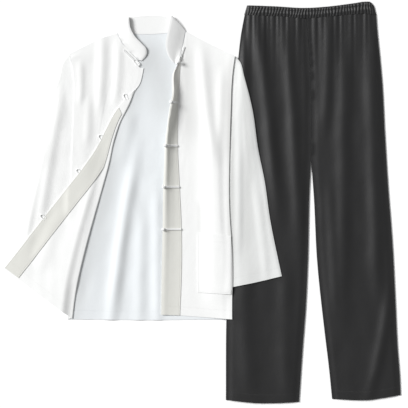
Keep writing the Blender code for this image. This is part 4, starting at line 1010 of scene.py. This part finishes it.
# across, up of the upper edge, then of the seam, and the heights of both over what they lie on
COLLAR_RIGHT_WING = [
    (-0.0235, 0.6745, -0.034, 0.676, 0.001, 0.0004),
    (-0.0125, 0.688, -0.041, 0.684, 0.004, 0.0004),
    (-0.012, 0.7035, -0.05, 0.693, 0.007, 0.0004),
    (-0.026, 0.72, -0.06, 0.7025, 0.009, 0.0004),
    (-0.042, 0.737, -0.071, 0.716, 0.0105, 0.0004),
    (-0.053, 0.758, -0.08, 0.731, 0.0115, 0.0006),
    (-0.057, 0.787, -0.086, 0.746, 0.012, 0.0008),
]
COLLAR_LEFT_WING = [
    (0.053, 0.788, 0.089, 0.751, 0.015, 0.0008),
    (0.047, 0.762, 0.085, 0.733, 0.015, 0.0006),
    (0.042, 0.74, 0.082, 0.717, 0.0145, 0.0004),
    (0.039, 0.723, 0.079, 0.704, 0.0135, 0.0004),
    (0.0395, 0.704, 0.076, 0.691, 0.0125, 0.0004),
    (0.046, 0.685, 0.072, 0.677, 0.0105, 0.0004),
    (0.058, 0.67, 0.068, 0.664, 0.008, 0.0004),
]
COLLAR_ROWS = even(14)[:, None, None]


def wing(table, steps):
    """One front of the collar, lying over the neck with its outside up."""
    table = smooth_curve(np.array(table))(even(steps))
    upper, seam_line = table[:, 0:2] + JACKET_AT, table[:, 2:4] + JACKET_AT
    points = (1 - COLLAR_ROWS) * upper + COLLAR_ROWS * seam_line
    share = COLLAR_ROWS[..., 0]
    rise = (1 - share) * table[:, 4] + share * table[:, 5] + 0.0014 * np.sin(math.pi * share)
    rise -= 0.0012 * np.exp(-share / 0.04)
    return points, pile.settle(points, rise, COLLAR_CLOTH, rounds=12)


wearer_right, right_height = wing(COLLAR_RIGHT_WING, 30)
wearer_left, left_height = wing(COLLAR_LEFT_WING, 30)
upper_line = smooth_curve(at_jacket([(-0.057, 0.787), (0.0, 0.792), (0.053, 0.788)]))
seam_line = smooth_curve(at_jacket(NECK_BACK) + (0.0, SEAM_GAP))
inset = np.linspace(0.012, 0.988, 26)
back = (1 - COLLAR_ROWS) * upper_line(inset) + COLLAR_ROWS * seam_line(inset)
back_height = np.full(back.shape[:2], COLLAR_CLOTH / 2)


def fold(start, start_height, end, end_height, outward):
    """The columns round a side fold."""
    made = []
    for angle in np.linspace(0, math.pi, 8)[1:-1]:
        reach = np.minimum(np.abs(end_height - start_height) / 2, 0.003)[:, None]
        flat = (start + end) / 2 + reach * math.sin(angle) * np.array(outward)
        mix = (1 - math.cos(angle)) / 2
        made.append(with_height(flat, (1 - mix) * start_height + mix * end_height)[:, None])
    return made


collar = np.concatenate([
    with_height(wearer_right, right_height),
    *fold(wearer_right[:, -1], right_height[:, -1], back[:, 0], back_height[:, 0], (-0.85, 0.54)),
    with_height(back, back_height),
    *fold(back[:, -1], back_height[:, -1], wearer_left[:, 0], left_height[:, 0], (0.8, 0.6)),
    with_height(wearer_left, left_height),
], axis=1)
made = cloth("jacket_collar", collar, COLLAR_CLOTH, white_cotton, "collar",
             seams=(0.0025, 0.0025, FAR))
for points, height in ((wearer_right, right_height), (wearer_left, left_height)):
    pile.add(points, height, COLLAR_CLOTH)

# %% [markdown]
# ## The frogs
# Each fastening is a narrow tube of the same cloth: folded into two side-by-side cords for the bar, knotted
# into a ball at the left edge, and left as a loop at the right one. A curve with a round bevel is the
# natural way to draw such a tube, and the ball is one long strand wound over itself on a small sphere.

# %% Frog parts
KNOT_RADIUS = 0.0045
CORD = 0.00125
LIFT = 0.0002
FROG_UPS = [0.565, 0.453, 0.346, 0.236]
KNOT_COLUMN = 0.4 * 4
BAR_END_COLUMN = 3.9 * 4
LOOPS = [0.14, 0.335, 0.5, 0.735]
COLLAR_KNOT = [(0.0725, 0.6705), (0.086, 0.7085)]
LOOP_ROOT = 0.0075
COLLAR_LOOP = [(-0.0375, 0.6695), (-0.0695, 0.7005)]


def cord_piece(name, route, radius, node, closed=False):
    """A cloth cord along a route of points in space, as a mesh tube."""
    curve = bpy.data.curves.new(name, "CURVE")
    curve.dimensions = "3D"
    curve.bevel_depth = radius
    curve.bevel_resolution = 3
    curve.use_fill_caps = True
    spline = curve.splines.new("POLY")
    spline.points.add(len(route) - 1)
    for point, spot in zip(spline.points, route):
        point.co = (*spot, 1.0)
    spline.use_cyclic_u = closed
    shape = placed(name, curve)
    bpy.context.view_layer.update()
    mesh = bpy.data.meshes.new_from_object(shape.evaluated_get(bpy.context.evaluated_depsgraph_get()))
    bpy.data.objects.remove(shape)
    mesh.name = name
    mesh.shade_smooth()
    spots = np.zeros(len(mesh.vertices) * 3)
    mesh.vertices.foreach_get("co", spots)
    keep(mesh, "cloth", spots)
    keep(mesh, "edges", np.full(spots.size, float(FAR)))
    mesh.materials.clear()
    mesh.materials.append(white_cotton)
    made = placed(name, mesh)
    settle_in(made, node)
    return made


def ball_knot(name, centre, node):
    """One strand wound round a sphere, three times along while it swings four times across."""
    s = np.linspace(0, 2 * math.pi, 160, endpoint=False)
    latitude = 1.12 * np.cos(4 * s)
    longitude = 3 * s
    reach = KNOT_RADIUS - CORD + 0.0002 * np.sin(12 * s)
    flat = np.cos(latitude)
    strand = np.stack([flat * np.cos(longitude), flat * np.sin(longitude), np.sin(latitude)], -1)
    return cord_piece(name, np.array(centre) + strand * reach[:, None], CORD * 1.02, node, closed=True)


def hairpin(start, end, height_at):
    """Two cords side by side from a knot to a bar's far end and back."""
    start, end = np.array(start, float), np.array(end, float)
    ahead = (end - start) / np.linalg.norm(end - start)
    aside = np.array([-ahead[1], ahead[0]]) * CORD * 1.05
    out = [start + aside + (end - start) * t for t in even(12)]
    half_turn = np.linspace(0, math.pi, 7)[1:-1]
    bend = [end + aside * math.cos(a) + ahead * CORD * 1.05 * math.sin(a) for a in half_turn]
    home = [end - aside + (start - end) * t for t in even(12)]
    return [(*p, height_at(p)) for p in out + bend + home]


# %% Knots and bars on the left front
def at_height(middle, column, height):
    """The place on a lattice at this column number where Y has this value."""
    j = min(int(column), middle.shape[1] - 2)
    line = middle[:, j] + (column - j) * (middle[:, j + 1] - middle[:, j])
    row = np.interp(-height, -line[:, 1], np.arange(len(line)))
    return np.array([np.interp(row, np.arange(len(line)), line[:, i]) for i in range(3)])


def lying(lift):
    """Height of a cord's middle that lies on the pile."""
    return lambda spot: pile.height_near(spot, 0.001) + lift


for number, up in enumerate(FROG_UPS, start=2):
    height = up + JACKET_AT[1]
    columns = np.linspace(KNOT_COLUMN, BAR_END_COLUMN, 40)
    line = np.array([at_height(band, column, height) for column in columns])
    knot_at = line[0]
    along_bar = line[line[:, 0] > knot_at[0] + KNOT_RADIUS * 0.7]
    aside = np.array([0, CORD * 1.05, 0])
    slope_out = np.gradient(along_bar, axis=0)
    normal = np.stack([-slope_out[:, 2], np.zeros(len(slope_out)), slope_out[:, 0]], -1)
    normal /= np.linalg.norm(normal, axis=1, keepdims=True)
    centre_line = along_bar + normal * (CORD + TRIM / 2 + LIFT)
    tip = centre_line[-1] - centre_line[-2]
    far = centre_line[-1] + tip / np.linalg.norm(tip) * CORD
    route = np.concatenate([centre_line + aside, far[None], (centre_line - aside)[::-1]])
    cord_piece(f"frog_cord_{number}", route, CORD, f"frog_bar_{number}")
    ball_knot(f"frog_ball_{number}", knot_at + (0, 0, KNOT_RADIUS + TRIM / 2), f"frog_knot_{number}")
print("frogs on the left front:", len(FROG_UPS))

# %% Pair at the collar
at, end = at_jacket(COLLAR_KNOT)
ahead = (end - at) / np.linalg.norm(end - at)
route = hairpin(at + ahead * KNOT_RADIUS * 0.9, end, lying(CORD + LIFT))
cord_piece("frog_cord_1", route, CORD, "frog_bar_1")
ball_knot("frog_ball_1", (*at, pile.height_near(at, 0.002) + KNOT_RADIUS), "frog_knot_1")
at, end = at_jacket(COLLAR_LOOP)
ahead = (end - at) / np.linalg.norm(end - at)
route = hairpin(at + ahead * LOOP_ROOT, end, lying(CORD + LIFT))
cord_piece("frog_cord_collar_right", route, CORD, "frog_bar_collar_right")

# %% Loops
LOOP_HALF_WIDTH, LOOP_REACH = 0.0042, 0.01


def loop_piece(name, root, outward, node, rest):
    """A loop that comes out from its root, goes round and returns."""
    outward = np.array(outward) / np.linalg.norm(outward)
    side = np.array([-outward[1], outward[0]])
    reach = LOOP_REACH - LOOP_HALF_WIDTH
    half_turn = np.linspace(0, math.pi, 13)
    bow = [(math.cos(a) * LOOP_HALF_WIDTH, reach + math.sin(a) * LOOP_HALF_WIDTH) for a in half_turn]
    ends = 0.8 * LOOP_HALF_WIDTH
    route = [np.array(root) + s * side + u * outward for s, u in [(ends, -0.006), *bow, (-ends, -0.006)]]
    return cord_piece(name, [(*p, rest(route)) for p in route], CORD, node)


loop_piece("frog_eye_1", at, -ahead, "frog_loop_1",
           lambda route: max(pile.height_near(p, CORD) for p in route) + CORD)


def under_height_near(spot):
    column, row = (int((x + HALF) / CELL) for x in spot)
    return under_pile[row - 1 : row + 2, column - 1 : column + 2].max()


def at_flap_edge(lap):
    return TURN_LENGTH + lap[:, None] + np.array([[-0.001, 0.0]])


for number, share in enumerate(LOOPS, start=2):
    points, _, _ = flap_points(np.array([share]), at_flap_edge)
    loop_piece(f"frog_eye_{number}", points[0, 1], points[0, 1] - points[0, 0], f"frog_loop_{number}",
               lambda route: max(under_height_near(p) for p in route) + CORD + LIFT)
print("loops:", 1 + len(LOOPS))

# %% [markdown]
# ## Room, light and camera
# The uniform lies on a plain, near-white floor under a broad soft light from the upper left, with an even
# fill, and the camera looks straight down from three metres, so that nothing leans.

# %% Floor
FLOOR_HALF, FLOOR_UP = 4, -0.0004
floor_mesh = bpy.data.meshes.new("floor")
corners = [(x * FLOOR_HALF, y * FLOOR_HALF, FLOOR_UP) for x, y in ((-1, -1), (1, -1), (1, 1), (-1, 1))]
floor_mesh.from_pydata(corners, [], [(0, 1, 2, 3)])
floor = placed("floor", floor_mesh)
pale = bpy.data.materials.new("pale_floor")
pale.use_nodes = True
feed(pale.node_tree, pale.node_tree.nodes["Principled BSDF"],
     {"Base Color": (0.97, 0.97, 0.97, 1.0), "Roughness": 0.95, "Specular IOR Level": 0.1})
floor_mesh.materials.append(pale)

# %% Light
world = bpy.data.worlds.new("soft_fill")
bpy.context.scene.world = world
world.use_nodes = True
feed(world.node_tree, world.node_tree.nodes["Background"], {"Color": (1.0, 1.0, 1.0, 1.0), "Strength": 0.34})
key = bpy.data.lights.new("key", "SUN")
key.energy = 3.9
key.angle = math.radians(24)
key_object = placed("key", key)
key_object.rotation_euler = Vector((0.7, -0.34, -0.6)).to_track_quat("-Z", "Y").to_euler()
bpy.context.scene.view_settings.view_transform = "Standard"

# %% Camera
VIEW_HEIGHT, DISTANCE, SENSOR = 1.0608, 3.0, 36.0
camera = bpy.data.cameras.new("camera")
camera.sensor_width = SENSOR
camera.lens = SENSOR * DISTANCE / VIEW_HEIGHT
camera_object = placed("camera", camera)
camera_object.location = (0.0044, -0.0039, DISTANCE + 0.003)
bpy.context.scene.camera = camera_object
print("camera looks straight down from", DISTANCE, "m")
